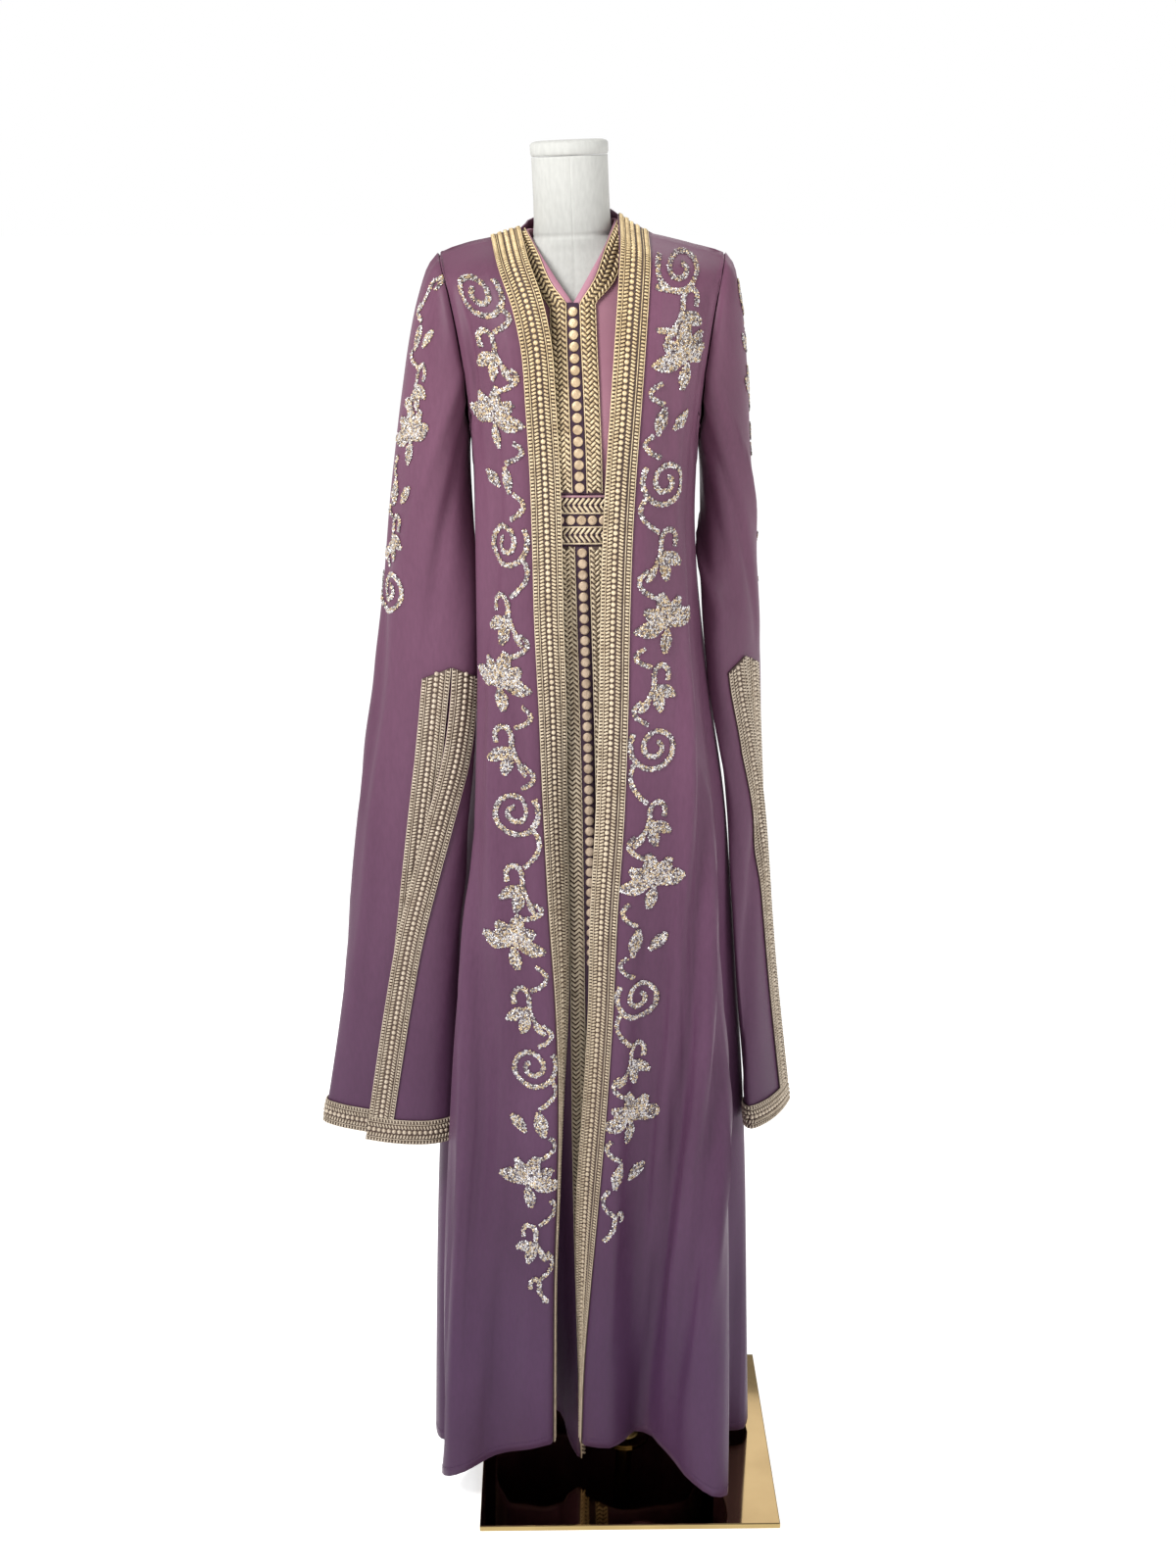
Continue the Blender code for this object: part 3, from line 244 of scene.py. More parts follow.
# Sleeves in plan: the fold line next to the body, the outer one, how far the cloth bulges to each side
# of the line between them, the slit's distance from the inner fold, and how far the slit's
# edges lap over each other and stand apart
SLEEVE_LEFT = [SleeveSection(*row) for row in (
    (0.48, -0.229, -0.060, -0.398, 0.004, 0.030, 0.016, 0.084, 0.012, 0.020),
    (0.74, -0.212, -0.045, -0.359, 0.002, 0.032, 0.012, 0.060, 0.010, 0.013),
    (0.90, -0.198, -0.045, -0.340, 0.000, 0.032, 0.012, 0.044, 0.004, 0.009),
    (1.02, -0.1875, -0.050, -0.324, 0.000, 0.034, 0.012, 0.030, -0.0008, 0.006),
    (1.10, -0.184, -0.052, -0.310, 0.000, 0.036, 0.014, 0.023, -0.0008, 0.001),
    (1.118, -0.1835, -0.052, -0.308, 0.000, 0.036, 0.014, 0.022, 0.000, 0.000),
    (1.16, -0.182, -0.052, -0.302, 0.000, 0.036, 0.016, 0.020, 0.000, 0.000),
)]
SLEEVE_RIGHT = [SleeveSection(*row) for row in (
    (0.48, 0.152, -0.040, 0.216, 0.122, 0.020, 0.006, 0.086, 0.012, 0.020),
    (0.74, 0.131, -0.035, 0.180, 0.092, 0.022, 0.004, 0.066, 0.010, 0.013),
    (0.90, 0.122, -0.030, 0.166, 0.080, 0.024, 0.004, 0.056, 0.004, 0.009),
    (1.02, 0.107, -0.035, 0.158, 0.070, 0.026, 0.006, 0.048, -0.0008, 0.006),
    (1.10, 0.0935, -0.038, 0.154, 0.060, 0.028, 0.010, 0.044, -0.0008, 0.001),
    (1.118, 0.092, -0.038, 0.153, 0.058, 0.028, 0.010, 0.043, 0.000, 0.000),
    (1.16, 0.0885, -0.036, 0.151, 0.052, 0.030, 0.014, 0.040, 0.000, 0.000),
)]
SLEEVE_STEPS = (6, 5.5, 5, 4, 3, 2, 1, 0.5, 0, -0.5, -1, -2, -3, -4, -5, -6, -7, -7.5, -8)

# Armholes: shoulder tip and armpit heights, their x, and how far the opening reaches to the front and back
COAT_ARM = {
    -1: Arm(TIP_LEVEL, ARMPIT_LEVEL, -0.2225, -0.1885, ARMHOLE_REACH),
    1: Arm(TIP_LEVEL, ARMPIT_LEVEL, 0.1055, 0.0765, ARMHOLE_REACH),
}
DRESS_ARM = {
    -1: Arm(1.6015, DRESS_ARMPIT, -0.177, -0.183, DRESS_ARM_REACH),
    1: Arm(1.6045, DRESS_ARMPIT, 0.039, 0.066, DRESS_ARM_REACH),
}

# Dress form, in its own upright frame
FORM = [Ring(*row) for row in (
    (FORM_BOTTOM, 0.116, 0.086, 0.094, 2.3),
    (0.88, 0.124, 0.090, 0.098, 2.3),
    (0.96, 0.126, 0.092, 0.098, 2.3),
    (1.06, 0.115, 0.092, 0.090, 2.3),
    (1.18, 0.100, 0.086, 0.074, 2.3),
    (1.28, 0.106, 0.098, 0.076, 2.2),
    (1.36, 0.114, 0.113, 0.084, 2.2),
    (1.44, 0.115, 0.101, 0.091, 2.2),
    (1.50, 0.114, 0.084, 0.088, 2.2),
    (1.545, 0.110, 0.066, 0.074, 2.2),
    (1.572, 0.099, 0.047, 0.054, 2.2),
    (1.588, 0.079, 0.039, 0.046, 2.1),
    (1.600, 0.060, 0.036, 0.042, 2.1),
    (1.612, 0.0465, 0.036, 0.040, 2.0),
    (1.632, 0.0440, 0.038, 0.041, 2.0),
    (1.660, 0.0435, 0.0410, 0.0435, 2.0),
    (NECK_TOP, 0.0435, 0.0425, 0.0435, 2.0),
)]

COLUMNS_BODY = 17
COLUMNS_DRESS = 8
ARM_STEPS = 7
COAT_ROWS = (9, 4, 3)
DRESS_ROWS = (8, 2, 5, 3)
PIVOT_SHARE = 0.735
MITRE_SHARE = 0.35
DRESS_ARM_STEPS = 4


def curve(xs, ys, x):
    """Smooth curve through the points (xs, ys) that never swings past them."""
    xs, ys = np.asarray(xs, float), np.asarray(ys, float)
    steps = np.diff(xs)
    slopes = np.diff(ys) / steps
    tangents = np.zeros_like(ys)
    tangents[0], tangents[-1] = slopes[0], slopes[-1]
    product = slopes[:-1] * slopes[1:]
    total = np.where(product > 0, slopes[:-1] + slopes[1:], 1.0)
    tangents[1:-1] = np.where(product > 0, 2 * product / total, 0.0)
    x = np.clip(x, xs[0], xs[-1])
    i = np.clip(np.searchsorted(xs, x, side="right") - 1, 0, len(steps) - 1)
    t = (x - xs[i]) / steps[i]
    rise = (3 - 2 * t) * t * t
    ends = ys[i] * (1 - rise) + ys[i + 1] * rise
    return ends + steps[i] * t * (1 - t) * (tangents[i] * (1 - t) - tangents[i + 1] * t)


def read(rows, column, at):
    """Value of one named column of a table at the height or share `at`."""
    return curve([row[0] for row in rows], [getattr(row, column) for row in rows], at)


def smooth(x):
    x = np.clip(x, 0.0, 1.0)
    return x * x * (3 - 2 * x)


def superellipse(angle, half_x, half_y, square):
    """Point of a rounded box at the angle, in radians."""
    c, s = np.cos(angle), np.sin(angle)
    x = half_x * np.sign(c) * np.abs(c) ** (2 / square)
    y = half_y * np.sign(s) * np.abs(s) ** (2 / square)
    return np.stack([x, y], axis=-1)


def resample(path, distances):
    """Points of a plan path at the given distances from its start."""
    along = totals(np.hypot(*np.diff(path, axis=0).T))
    return np.stack([np.interp(distances, along, path[:, k]) for k in (0, 1)], axis=-1)


def length(path):
    return float(np.hypot(*np.diff(path, axis=0).T).sum())


def totals(steps):
    """Running totals of steps, from 0."""
    return np.concatenate([[0], np.cumsum(steps)])


def unit(vectors):
    return vectors / np.maximum(np.linalg.norm(vectors, axis=-1, keepdims=True), 1e-9)


def flattened(vectors, normals):
    """Directions without their share along the normals, one long."""
    return unit(vectors - normals * (vectors * normals).sum(axis=-1, keepdims=True))


def turn_left(vectors):
    return np.stack([-vectors[:, 1], vectors[:, 0]], axis=-1)


def body_ring(sections, folds, z, degrees):
    """Plan points of a body section with its folds; 0 is the right side and 90 the back."""
    left, right, front, back, mid, square = (
        float(read(sections, name, z)) for name in ("left", "right", "front", "back", "mid", "square")
    )
    step = degrees[1] - degrees[0]
    degrees = np.concatenate([[degrees[0] - step], degrees, [degrees[-1] + step]])
    angle = np.radians(degrees)
    half_y = np.where(np.sin(angle) < 0, mid - front, back - mid)
    base = superellipse(angle, (right - left) / 2, half_y, square)
    base += [(left + right) / 2, mid]
    tangent = np.gradient(base, axis=0) * np.sign(step)
    outward = -turn_left(tangent) / np.maximum(np.hypot(*tangent.T), 1e-9)[:, None]
    push = np.zeros(len(degrees))
    for fold in folds:
        grown = np.clip((fold.start - z) / fold.start, 0, 1)
        centre = fold.angle_hem + (fold.angle_start - fold.angle_hem) * (1 - grown)
        apart = (degrees - centre + 180) % 360 - 180
        push += fold.depth * grown**1.25 * np.exp(-np.abs(apart / fold.half_angle) ** 2.6)
    return (base + outward * push[:, None])[1:-1]


def front_path(side, z):
    """Plan path of a coat front at one height, from its free edge to the side seam."""
    edges = LEFT_EDGE if side < 0 else RIGHT_EDGE
    turn = math.radians(float(read(edges, "turn", z)))
    reach = TRIM_BEND * (math.sin(turn) / turn if turn > 1e-6 else 1.0)
    start_x = float(read(edges, "x", z)) + side * reach
    degrees = np.linspace(-180, 0, 361) if side > 0 else np.linspace(0, -180, 361)
    ring = body_ring(COAT, COAT_FOLDS, z, degrees)
    beyond = np.flatnonzero(side * (ring[:, 0] - start_x) > 0)
    ring = ring[beyond[0] :]
    share = np.linspace(0, 1, 13)
    bend = np.minimum(share * (TRIM_WIDTH + TRIM_BEND) / TRIM_BEND, 1.0)
    heading = math.pi / 2 + side * (math.pi / 2 - bend * turn)
    step = (TRIM_WIDTH + TRIM_BEND) / 12
    moves = np.stack([np.cos(heading), np.sin(heading)], axis=-1)
    strip = ring[0] + np.concatenate([[[0, 0]], np.cumsum((moves[1:] + moves[:-1]) / 2 * step, axis=0)])
    return np.concatenate([strip[::-1], ring[1:]])


def front_distances(total, shares):
    """Distances of a coat front's columns from its free edge: the trim, its bend, then the rest."""
    fixed = [0.0, TRIM_WIDTH / 2, TRIM_WIDTH, TRIM_WIDTH + TRIM_BEND / 2]
    rest = TRIM_WIDTH + TRIM_BEND
    return np.concatenate([fixed, rest + (total - rest) * shares])


def armhole(side, angle, inset, arm):
    """Point of an armhole: angle 0 at the shoulder tip, 90 at the front, 180 at the armpit."""
    z = (arm.tip + arm.armpit) / 2 + (arm.tip - arm.armpit) / 2 * np.cos(angle)
    lift = (z - arm.armpit) / (arm.tip - arm.armpit)
    x = arm.armpit_x + (arm.tip_x - arm.armpit_x) * lift**2
    x = x - side * (inset + (CREST_SEAM - SEAM) * np.sign(inset) * np.clip(np.cos(angle), 0, 1) ** 4)
    y = -arm.reach * np.sin(angle) - np.sign(angle) * SEAM * np.abs(np.cos(angle)) ** 4
    return np.stack([x, y, z], axis=-1)


def arm_angle(arm, z):
    """Angle of the armhole's point at a height: 180 at the armpit and below it."""
    return math.acos(np.clip((2 * z - arm.tip - arm.armpit) / (arm.tip - arm.armpit), -1, 1))


def up_to_armhole(path, side, arm, z, inset, behind):
    """Plan path from the middle of the body, bent and cut to end on the armhole at this height."""
    if z <= arm.armpit:
        return path
    end = armhole(side, (-1 if behind else 1) * arm_angle(arm, z), inset, arm)[:2]
    inside = np.flatnonzero(np.abs(path[:, 1]) < abs(end[1]))
    inside = inside[inside > len(path) // 3]
    kept = path[: max(inside[0] if len(inside) else len(path), len(path) // 3)].copy()
    along = np.linspace(0, 1, len(kept))[:, None]
    kept += smooth((along - 0.4) / 0.6) * (end - kept[-1])
    return kept


def seam_points(rows, distances, y):
    """Points of a shoulder seam at distances in x from its neck end."""
    side = np.sign(rows[-1].x - rows[0].x)
    x = rows[0].x + side * distances
    table = sorted(rows)
    z = curve([row.x for row in table], [row.z for row in table], x)
    return np.stack([x, np.full(len(x), y), z], axis=-1)


def hang(columns, hem, levels, pivot, top, counts, tip, upright=math.inf):
    """Grid of points from the hem up: it follows columns(z), crosses the levels and ends on the top edge.

    counts gives the rows between the hem, each level, the pivot and the top. A short column
    has its pivot lower. Above the last level a column that ends at the tip or higher follows
    the plan up to the height where it is next to its end. One that ends above `upright` goes
    straight up to it.
    """
    last = levels[-1]
    ease = np.minimum(pivot, last + PIVOT_SHARE * (top[:, 2] - last))
    stops = [hem, *(np.full(len(top), level) for level in levels), ease, top[:, 2]]
    tries = np.linspace(last + 0.6 * (tip - last), tip, 30)
    found = np.array([columns(z) for z in tries])
    best = np.hypot(*np.moveaxis(found - top[:, :2], -1, 0)).argmin(axis=0)
    ends = np.where(top[:, 2] >= tip - 1e-6, tries[best], top[:, 2])
    shift = top[:, :2] - np.array([columns(z)[c] for c, z in enumerate(ends)])
    heights = [
        stops[part] + (stops[part + 1] - stops[part]) * k / count
        for part, count in enumerate(counts)
        for k in range(count)
    ]
    heights.append(top[:, 2])
    grid = np.zeros((len(heights), len(top), 3))
    for r, row in enumerate(heights):
        for c, z in enumerate(row):
            share = (z - last) / (top[c, 2] - last)
            reached = z if share < 0 else last + (ends[c] - last) * share
            place = columns(reached)[c]
            move = shift[c].copy()
            if top[c, 2] > upright:
                move[0] = top[c, 0] - place[0]
            grid[r, c, :2] = place + smooth((share - 0.3) / 0.7) * move
            grid[r, c, 2] = z
    return grid


def scaled(shares, arm, z, tip_share):
    """Shares of a panel's columns along a path that ends at the armhole: the column that ends there has 1."""
    if z <= arm.armpit:
        return shares
    return shares / (tip_share + (1 - tip_share) * arm_angle(arm, z) / math.pi)


def coat_front(side):
    shares = np.linspace(0, 1, COLUMNS_BODY + 1)
    seam = COAT_SEAM_LEFT if side < 0 else COAT_SEAM_RIGHT
    seam_length = abs(seam[-1].x - seam[0].x)
    seam_count = len(shares) - ARM_STEPS
    along = front_distances(seam_length - CREST_SEAM, np.linspace(0, 1, seam_count))
    top_seam = seam_points(seam, along, -CREST_SEAM)
    angles = math.pi * np.arange(1, ARM_STEPS + 1) / ARM_STEPS
    arm = COAT_ARM[side]
    top = np.concatenate([top_seam, armhole(side, angles, SEAM, arm)])
    hems = COAT_HEM_LEFT if side < 0 else COAT_HEM_RIGHT
    hem = read(hems, "z", np.concatenate([np.zeros(4), shares]))
    tip_share = shares[seam_count - 1]

    def columns(z):
        path = up_to_armhole(front_path(side, z), side, arm, z, SEAM, False)
        inset = SEAM if z <= ARMPIT_LEVEL else 0.0
        return resample(path, front_distances(length(path) - inset, scaled(shares, arm, z, tip_share)))

    return hang(columns, hem, [HIP_LEVEL], TIP_LEVEL, top, COAT_ROWS, TIP_LEVEL)


def back_top(seam_left, seam_right, arms, inset, neck_reach, neck_rise, counts):
    """Top edge of a back panel: armhole, shoulder, neck, shoulder, armhole, from left to right."""
    arm_count, seam_count, neck_count = counts
    down = np.linspace(math.pi, 0, arm_count, endpoint=False)
    left_length = abs(seam_left[-1].x - seam_left[0].x)
    right_length = abs(seam_right[-1].x - seam_right[0].x)
    out_left = np.linspace(left_length - inset, 0, seam_count, endpoint=False)
    out_right = np.linspace(0, right_length - inset, seam_count + 1)[1:]
    left_arm = armhole(-1, -down, SEAM, arms[-1])
    right_arm = armhole(1, -down[::-1], SEAM, arms[1])
    ends = seam_points(seam_left, np.zeros(1), inset)[0], seam_points(seam_right, np.zeros(1), inset)[0]
    turn = np.linspace(0, math.pi, neck_count + 1)
    share = (1 - np.cos(turn)) / 2
    neck = ends[0] + (ends[1] - ends[0]) * share[:, None]
    neck[:, 1] += neck_reach * np.sin(turn)
    neck[:, 2] += neck_rise * np.sin(turn)
    left_shoulder = seam_points(seam_left, out_left, inset)
    right_shoulder = seam_points(seam_right, out_right, inset)
    return np.concatenate([left_arm, left_shoulder, neck, right_shoulder, right_arm])


def back_columns(sections, folds, arms, count, arm_count):
    """Function that gives the plan points of a back panel's columns at a height."""
    shares = np.linspace(0, 1, count)
    halves = np.abs(shares - 0.5) * 2
    tip_share = halves[arm_count]

    def columns(z):
        path = body_ring(sections, folds, z, np.linspace(180, 0, 361))
        points = np.zeros((count, 2))
        for side, half, chosen in ((-1, path[180::-1], shares <= 0.5), (1, path[180:], shares > 0.5)):
            half = up_to_armhole(half, side, arms[side], z, SEAM, True)
            inset = SEAM if z <= arms[side].armpit else 0.0
            places = scaled(halves[chosen], arms[side], z, tip_share)
            points[chosen] = resample(half, (length(half) - inset) * places)
        return points

    return columns


def coat_back():
    counts = (ARM_STEPS, 3, 6)
    top = back_top(
        COAT_SEAM_LEFT, COAT_SEAM_RIGHT, COAT_ARM, CREST_SEAM, BACK_NECK_REACH, BACK_NECK_RISE, counts
    )
    hem = read(COAT_HEM_BACK, "z", np.linspace(0, 1, len(top)))
    columns = back_columns(COAT, COAT_FOLDS, COAT_ARM, len(top), ARM_STEPS)
    return hang(columns, hem, [HIP_LEVEL], TIP_LEVEL, top, COAT_ROWS, TIP_LEVEL, NECK_SIDE_LEVEL)


def sleeve_ring(side, z, shares):
    """Plan points of a sleeve at one height, from the slit round the outer fold and back to it."""
    rows = SLEEVE_LEFT if side < 0 else SLEEVE_RIGHT
    inner = np.array([read(rows, "inner_x", z), read(rows, "inner_y", z)], float)
    outer = np.array([read(rows, "outer_x", z), read(rows, "outer_y", z)], float)
    face, rear, slit, lap, step = (float(read(rows, n, z)) for n in ("face", "rear", "slit", "lap", "step"))
    width = np.hypot(*(outer - inner))
    along = (outer - inner) / width
    across = side * np.array([along[1], -along[0]])
    at_slit = math.acos(np.clip(1 - 2 * slit / width, -1, 1))
    dense = np.linspace(-lap / width / 2, 1 + lap / width / 2, 240)
    angle = math.pi - at_slit - 2 * math.pi * dense
    c, s = np.cos(angle), np.sin(angle)
    bulge = np.where(s > 0, face, rear)
    spiral = step * (0.5 * smooth((dense - 0.75) / 0.25) - 0.5 * smooth((0.25 - dense) / 0.25))
    reach = bulge * np.sign(s) * np.abs(s) ** 0.85 + spiral
    path = (inner + outer) / 2 + np.outer(c * width / 2, along) + np.outer(reach, across)
    return resample(path, length(path) * shares)


def sleeve_shares(side, z, count):
    """Column places round a sleeve: the two slit bands have their real width."""
    total = length(sleeve_ring(side, z, np.linspace(0, 1, 200)))
    band = TRIM_WIDTH / total
    inner = np.linspace(band, 1 - band, count - 4)
    return np.concatenate([[0, band / 2], inner, [1 - band / 2, 1]])


def sleeve(side):
    """Grid of a sleeve from the cuff up. The first and last columns meet above the slit."""
    low = CUFF_LEVEL + np.array([0, CUFF_BAND / 2, CUFF_BAND])
    middle = np.linspace(CUFF_LEVEL + CUFF_BAND, SLIT_TOP - GABLE_ROW, 8)[1:]
    lower = np.concatenate([low, middle, [SLIT_TOP, SLEEVE_LEVEL]])
    upper = 1 - (1 - np.linspace(0, 1, 8)[1:]) ** 1.3
    count = len(SLEEVE_STEPS)
    grid = np.zeros((len(lower) + len(upper), count, 3))
    for row, z in enumerate(lower):
        grid[row, :, :2] = sleeve_ring(side, z, sleeve_shares(side, z, count))
        grid[row, :, 2] = z
    angles = math.pi * np.array(SLEEVE_STEPS) / ARM_STEPS
    whole = np.arange(-ARM_STEPS - 1, ARM_STEPS)
    knots = armhole(side, math.pi * whole / ARM_STEPS, -ARM_SEAM, COAT_ARM[side])
    top = np.stack([np.interp(SLEEVE_STEPS, whole, knots[:, k]) for k in range(3)], axis=-1)
    top[-1] = top[0]
    start = grid[len(lower) - 1]
    rise = top[:, 2:] - start[:, 2:]
    leave = start - grid[len(lower) - 3]
    leave *= rise / leave[:, 2:]
    under = (1 - np.cos(angles)) / 2
    arrive = np.stack([-side * (0.85 - 0.7 * under), 0.25 * np.sin(angles), 0.55 + 0.45 * under], axis=-1)
    arrive *= CAP_PULL * (1 - 0.3 * under)[:, None]
    for row, t in enumerate(upper, len(lower)):
        grid[row] = (
            (1 + 2 * t) * (1 - t) ** 2 * start
            + t * (1 - t) ** 2 * leave
            + t * t * (3 - 2 * t) * top
            + t * t * (t - 1) * arrive
        )
    return grid, len(lower) - 2


def dress_path(side, z):
    """Plan path of a dress front, from its centre line or neck edge to the side seam."""
    opened = np.clip((z - NECK_POINT) / (DRESS_TIP - NECK_POINT), 0, 1)
    start_x = float(read(DRESS_CENTRE, "x", z)) + side * (SEAM + NECK_HALF * opened)
    degrees = np.linspace(-180, 0, 721) if side > 0 else np.linspace(0, -180, 721)
    ring = body_ring(DRESS, DRESS_FOLDS, z, degrees)
    return ring[np.flatnonzero(side * (ring[:, 0] - start_x) > 0)[0] :]


def band_start(z):
    """Distance of the braid from the dress front's edge: beside the buttons, then along the neck."""
    return NECK_EDGE + (PLACKET_HALF - NECK_EDGE) * (1 - smooth((z - NECK_POINT) / 0.016))


def dress_front(side):
    arm = DRESS_ARM[side]
    shares = np.linspace(0, 1, COLUMNS_DRESS + 1)
    seam = DRESS_SEAM_LEFT if side < 0 else DRESS_SEAM_RIGHT
    seam_length = abs(seam[-1].x - seam[0].x) - CREST_SEAM
    fixed = [0.0, NECK_EDGE, NECK_EDGE + BRAID_WIDTH / 2]
    rest = NECK_EDGE + BRAID_WIDTH
    seam_count = len(shares) - DRESS_ARM_STEPS
    along = rest + (seam_length - rest) * np.linspace(0, 1, seam_count)
    angles = math.pi * np.arange(1, DRESS_ARM_STEPS + 1) / DRESS_ARM_STEPS
    seam_part = seam_points(seam, np.concatenate([fixed, along]), -CREST_SEAM)
    top = np.concatenate([seam_part, armhole(side, angles, SEAM, arm)])
    hems = DRESS_HEM if side < 0 else DRESS_HEM_RIGHT
    hem = read(hems, "z", np.concatenate([[0.0, 0.02, 0.06], 0.1 + 0.9 * shares]))
    tip_share = shares[seam_count - 1]

    def columns(z):
        path = up_to_armhole(dress_path(side, z), side, arm, z, SEAM, False)
        start = band_start(z)
        rest = start + BRAID_WIDTH
        inset = SEAM if z <= arm.armpit else 0.0
        outer = rest + (length(path) - inset - rest) * scaled(shares, arm, z, tip_share)
        return resample(path, np.concatenate([[0.0, start, start + BRAID_WIDTH / 2], outer]))

    return hang(columns, hem, [BELT_LOW, BELT_HIGH], NECK_POINT, top, DRESS_ROWS, DRESS_TIP)


def dress_back():
    counts = (DRESS_ARM_STEPS, 3, 6)
    top = back_top(
        DRESS_SEAM_LEFT, DRESS_SEAM_RIGHT, DRESS_ARM, CREST_SEAM, DRESS_NECK_REACH, DRESS_NECK_RISE, counts
    )
    hem = read(DRESS_HEM_BACK, "z", np.linspace(0, 1, len(top)))
    columns = back_columns(DRESS, DRESS_FOLDS, DRESS_ARM, len(top), DRESS_ARM_STEPS)
    return hang(columns, hem, [BELT_LOW, BELT_HIGH], NECK_POINT, top, DRESS_ROWS, DRESS_TIP, NECK_SIDE_LEVEL)


def normals_of(grid):
    """Outward steps of a grid of points: a step moves both walls beside a fold out by its length."""
    up = np.gradient(grid, axis=0)
    across = np.diff(grid, axis=1)
    before = np.concatenate([across[:, :1], across], axis=1)
    after = np.concatenate([across, across[:, -1:]], axis=1)
    sides = [unit(np.cross(part, up)) for part in (before, after)]
    normals = unit(sides[0] + sides[1])
    share = (normals * sides[0]).sum(axis=2, keepdims=True)
    return normals / np.maximum(share, MITRE_SHARE)


def moved_out(grid, distance):
    return grid + normals_of(grid) * distance


def facing_out(grid, side):
    """Columns in the order that turns the grid's faces away from the body: the left side's are reversed."""
    return grid[:, ::-1] if side < 0 else grid


def leaning(x, y, z):
    return (x * math.cos(LEAN) - z * math.sin(LEAN), y, z * math.cos(LEAN) + x * math.sin(LEAN))


def between(first, second, share):
    return first + (second - first) * share


# Scene detail: steps of the fine grids, braid, beads, buttons, cords, stitches and seams
FINE_ACROSS = 0.007
BACK_ACROSS = FINE_ACROSS * 1.3
FINE_ALONG = 0.009
BRAID_STEP = 0.0041
CHEVRON_STEP = 0.0062
BEAD_STEP = 0.0020
BEAD_RADIUS = 0.00140
BUTTON_RINGS = 7
BUTTON_AROUND = 20
BEAD_TILT = 0.28
BEAD_LIFT = 0.0004
BEAD_SHAKE = 0.0005
STEM = 0.0052
VINE = 0.0044
KNOT_STEP = 0.0068
CORD_STEP = 0.006
CORD_LIFT = 0.0004
STITCH_STEP = 0.0042
STITCH_LENGTH = 0.0030
HEM_TURN = 0.012
LOOK_AHEAD = 0.002
SEAM_TUCK = 0.2
CAP_SIDES = 56
SEAM_DEPTH = 0.014
SEAM_HALF = 0.013
NECK_SEAM_LEVEL = 1.6135
NECK_SEAM_DEPTH = 0.035
NECK_SEAM_HALF = 0.0018

# Studio: a floor that glows a little, so that it is white out to the horizon, and the camera
FLOOR_REACH = 40.0
FLOOR_GLOW = 0.66
STUDIO_LIGHT = 0.46
CAMERA_LENS = 46.9575
CAMERA_PLACE = (-0.0904363, -2.432, 1.708)
CAMERA_DOWN = math.radians(17.3)
CAMERA_TURN = math.radians(-0.917)

# Colour: the painted shade that multiplies the satin and darkens it towards the hem, and the level above
# which the dress is painted lighter and pinker: partly its own pinker tone, partly painted light
HEM_PAINTED_SHADE = (0.42, 0.42, 0.64)
PINK_AND_PAINTED_LIGHT_LEVEL = 1.31

Crease = namedtuple("Crease", "high reach_high low reach_low half depth")
Motif = namedtuple("Motif", "kind z off size")
Light = namedtuple("Light", "name place target size power")
Thread = namedtuple("Thread", "u length width rise turn")

# Wide trim: its rows of threads, each across the trim, and its cords
TRIM_ROWS = [Thread(*row) for row in (
    (0.0028, 0.0044, 0.0024, 0.0016, 0.14),
    (0.0312, 0.0044, 0.0024, 0.0016, -0.14),
    (0.0102, 0.0054, 0.0025, 0.0021, 0.42),
    (0.0238, 0.0054, 0.0025, 0.0021, -0.42),
)]
TRIM_CORDS = (0.0004, 0.0060, 0.0280, 0.0336)
# Bent stem of a sprig or curl, in half sizes
CANE = (
    (0.42, 0.30), (0.48, 0.72), (0.12, 0.98), (-0.22, 0.70), (-0.16, 0.05), (-0.42, -0.45), (-0.80, -0.95),
)

# Creases: heights and distances from the panel's first column, half width, and depth (inward is negative)
CREASES_LEFT = [Crease(*row) for row in (
    (1.57, 0.088, 1.40, 0.112, 0.006, -0.0048),
    (1.56, 0.102, 1.36, 0.126, 0.005, 0.0050),
    (1.52, 0.074, 1.16, 0.092, 0.011, -0.0059),
    (1.42, 0.118, 0.92, 0.136, 0.012, 0.0067),
    (1.26, 0.058, 0.60, 0.074, 0.011, -0.0056),
    (1.16, 0.092, 0.26, 0.118, 0.010, 0.0087),
    (1.00, 0.124, 0.16, 0.152, 0.010, -0.0092),
    (0.86, 0.146, 0.08, 0.184, 0.009, 0.0098),
    (0.62, 0.062, 0.09, 0.080, 0.010, 0.0073),
    (0.52, 0.174, 0.05, 0.208, 0.010, -0.0090),
    (0.40, 0.105, 0.06, 0.128, 0.009, -0.0070),
)]
CREASES_RIGHT = [Crease(*row) for row in (
    (1.56, 0.112, 1.44, 0.128, 0.007, -0.0036),
    (1.52, 0.085, 1.20, 0.096, 0.011, 0.0050),
    (1.44, 0.128, 0.96, 0.146, 0.011, -0.0070),
    (1.30, 0.108, 0.88, 0.118, 0.010, 0.0062),
    (1.14, 0.108, 0.12, 0.122, 0.008, 0.0123),
    (1.08, 0.126, 0.10, 0.142, 0.009, -0.0106),
    (1.00, 0.150, 0.06, 0.168, 0.009, 0.0118),
    (0.94, 0.170, 0.10, 0.194, 0.009, -0.0098),
    (0.86, 0.066, 0.20, 0.080, 0.010, -0.0056),
    (0.80, 0.196, 0.05, 0.222, 0.010, 0.0104),
    (0.46, 0.055, 0.08, 0.066, 0.009, 0.0062),
)]
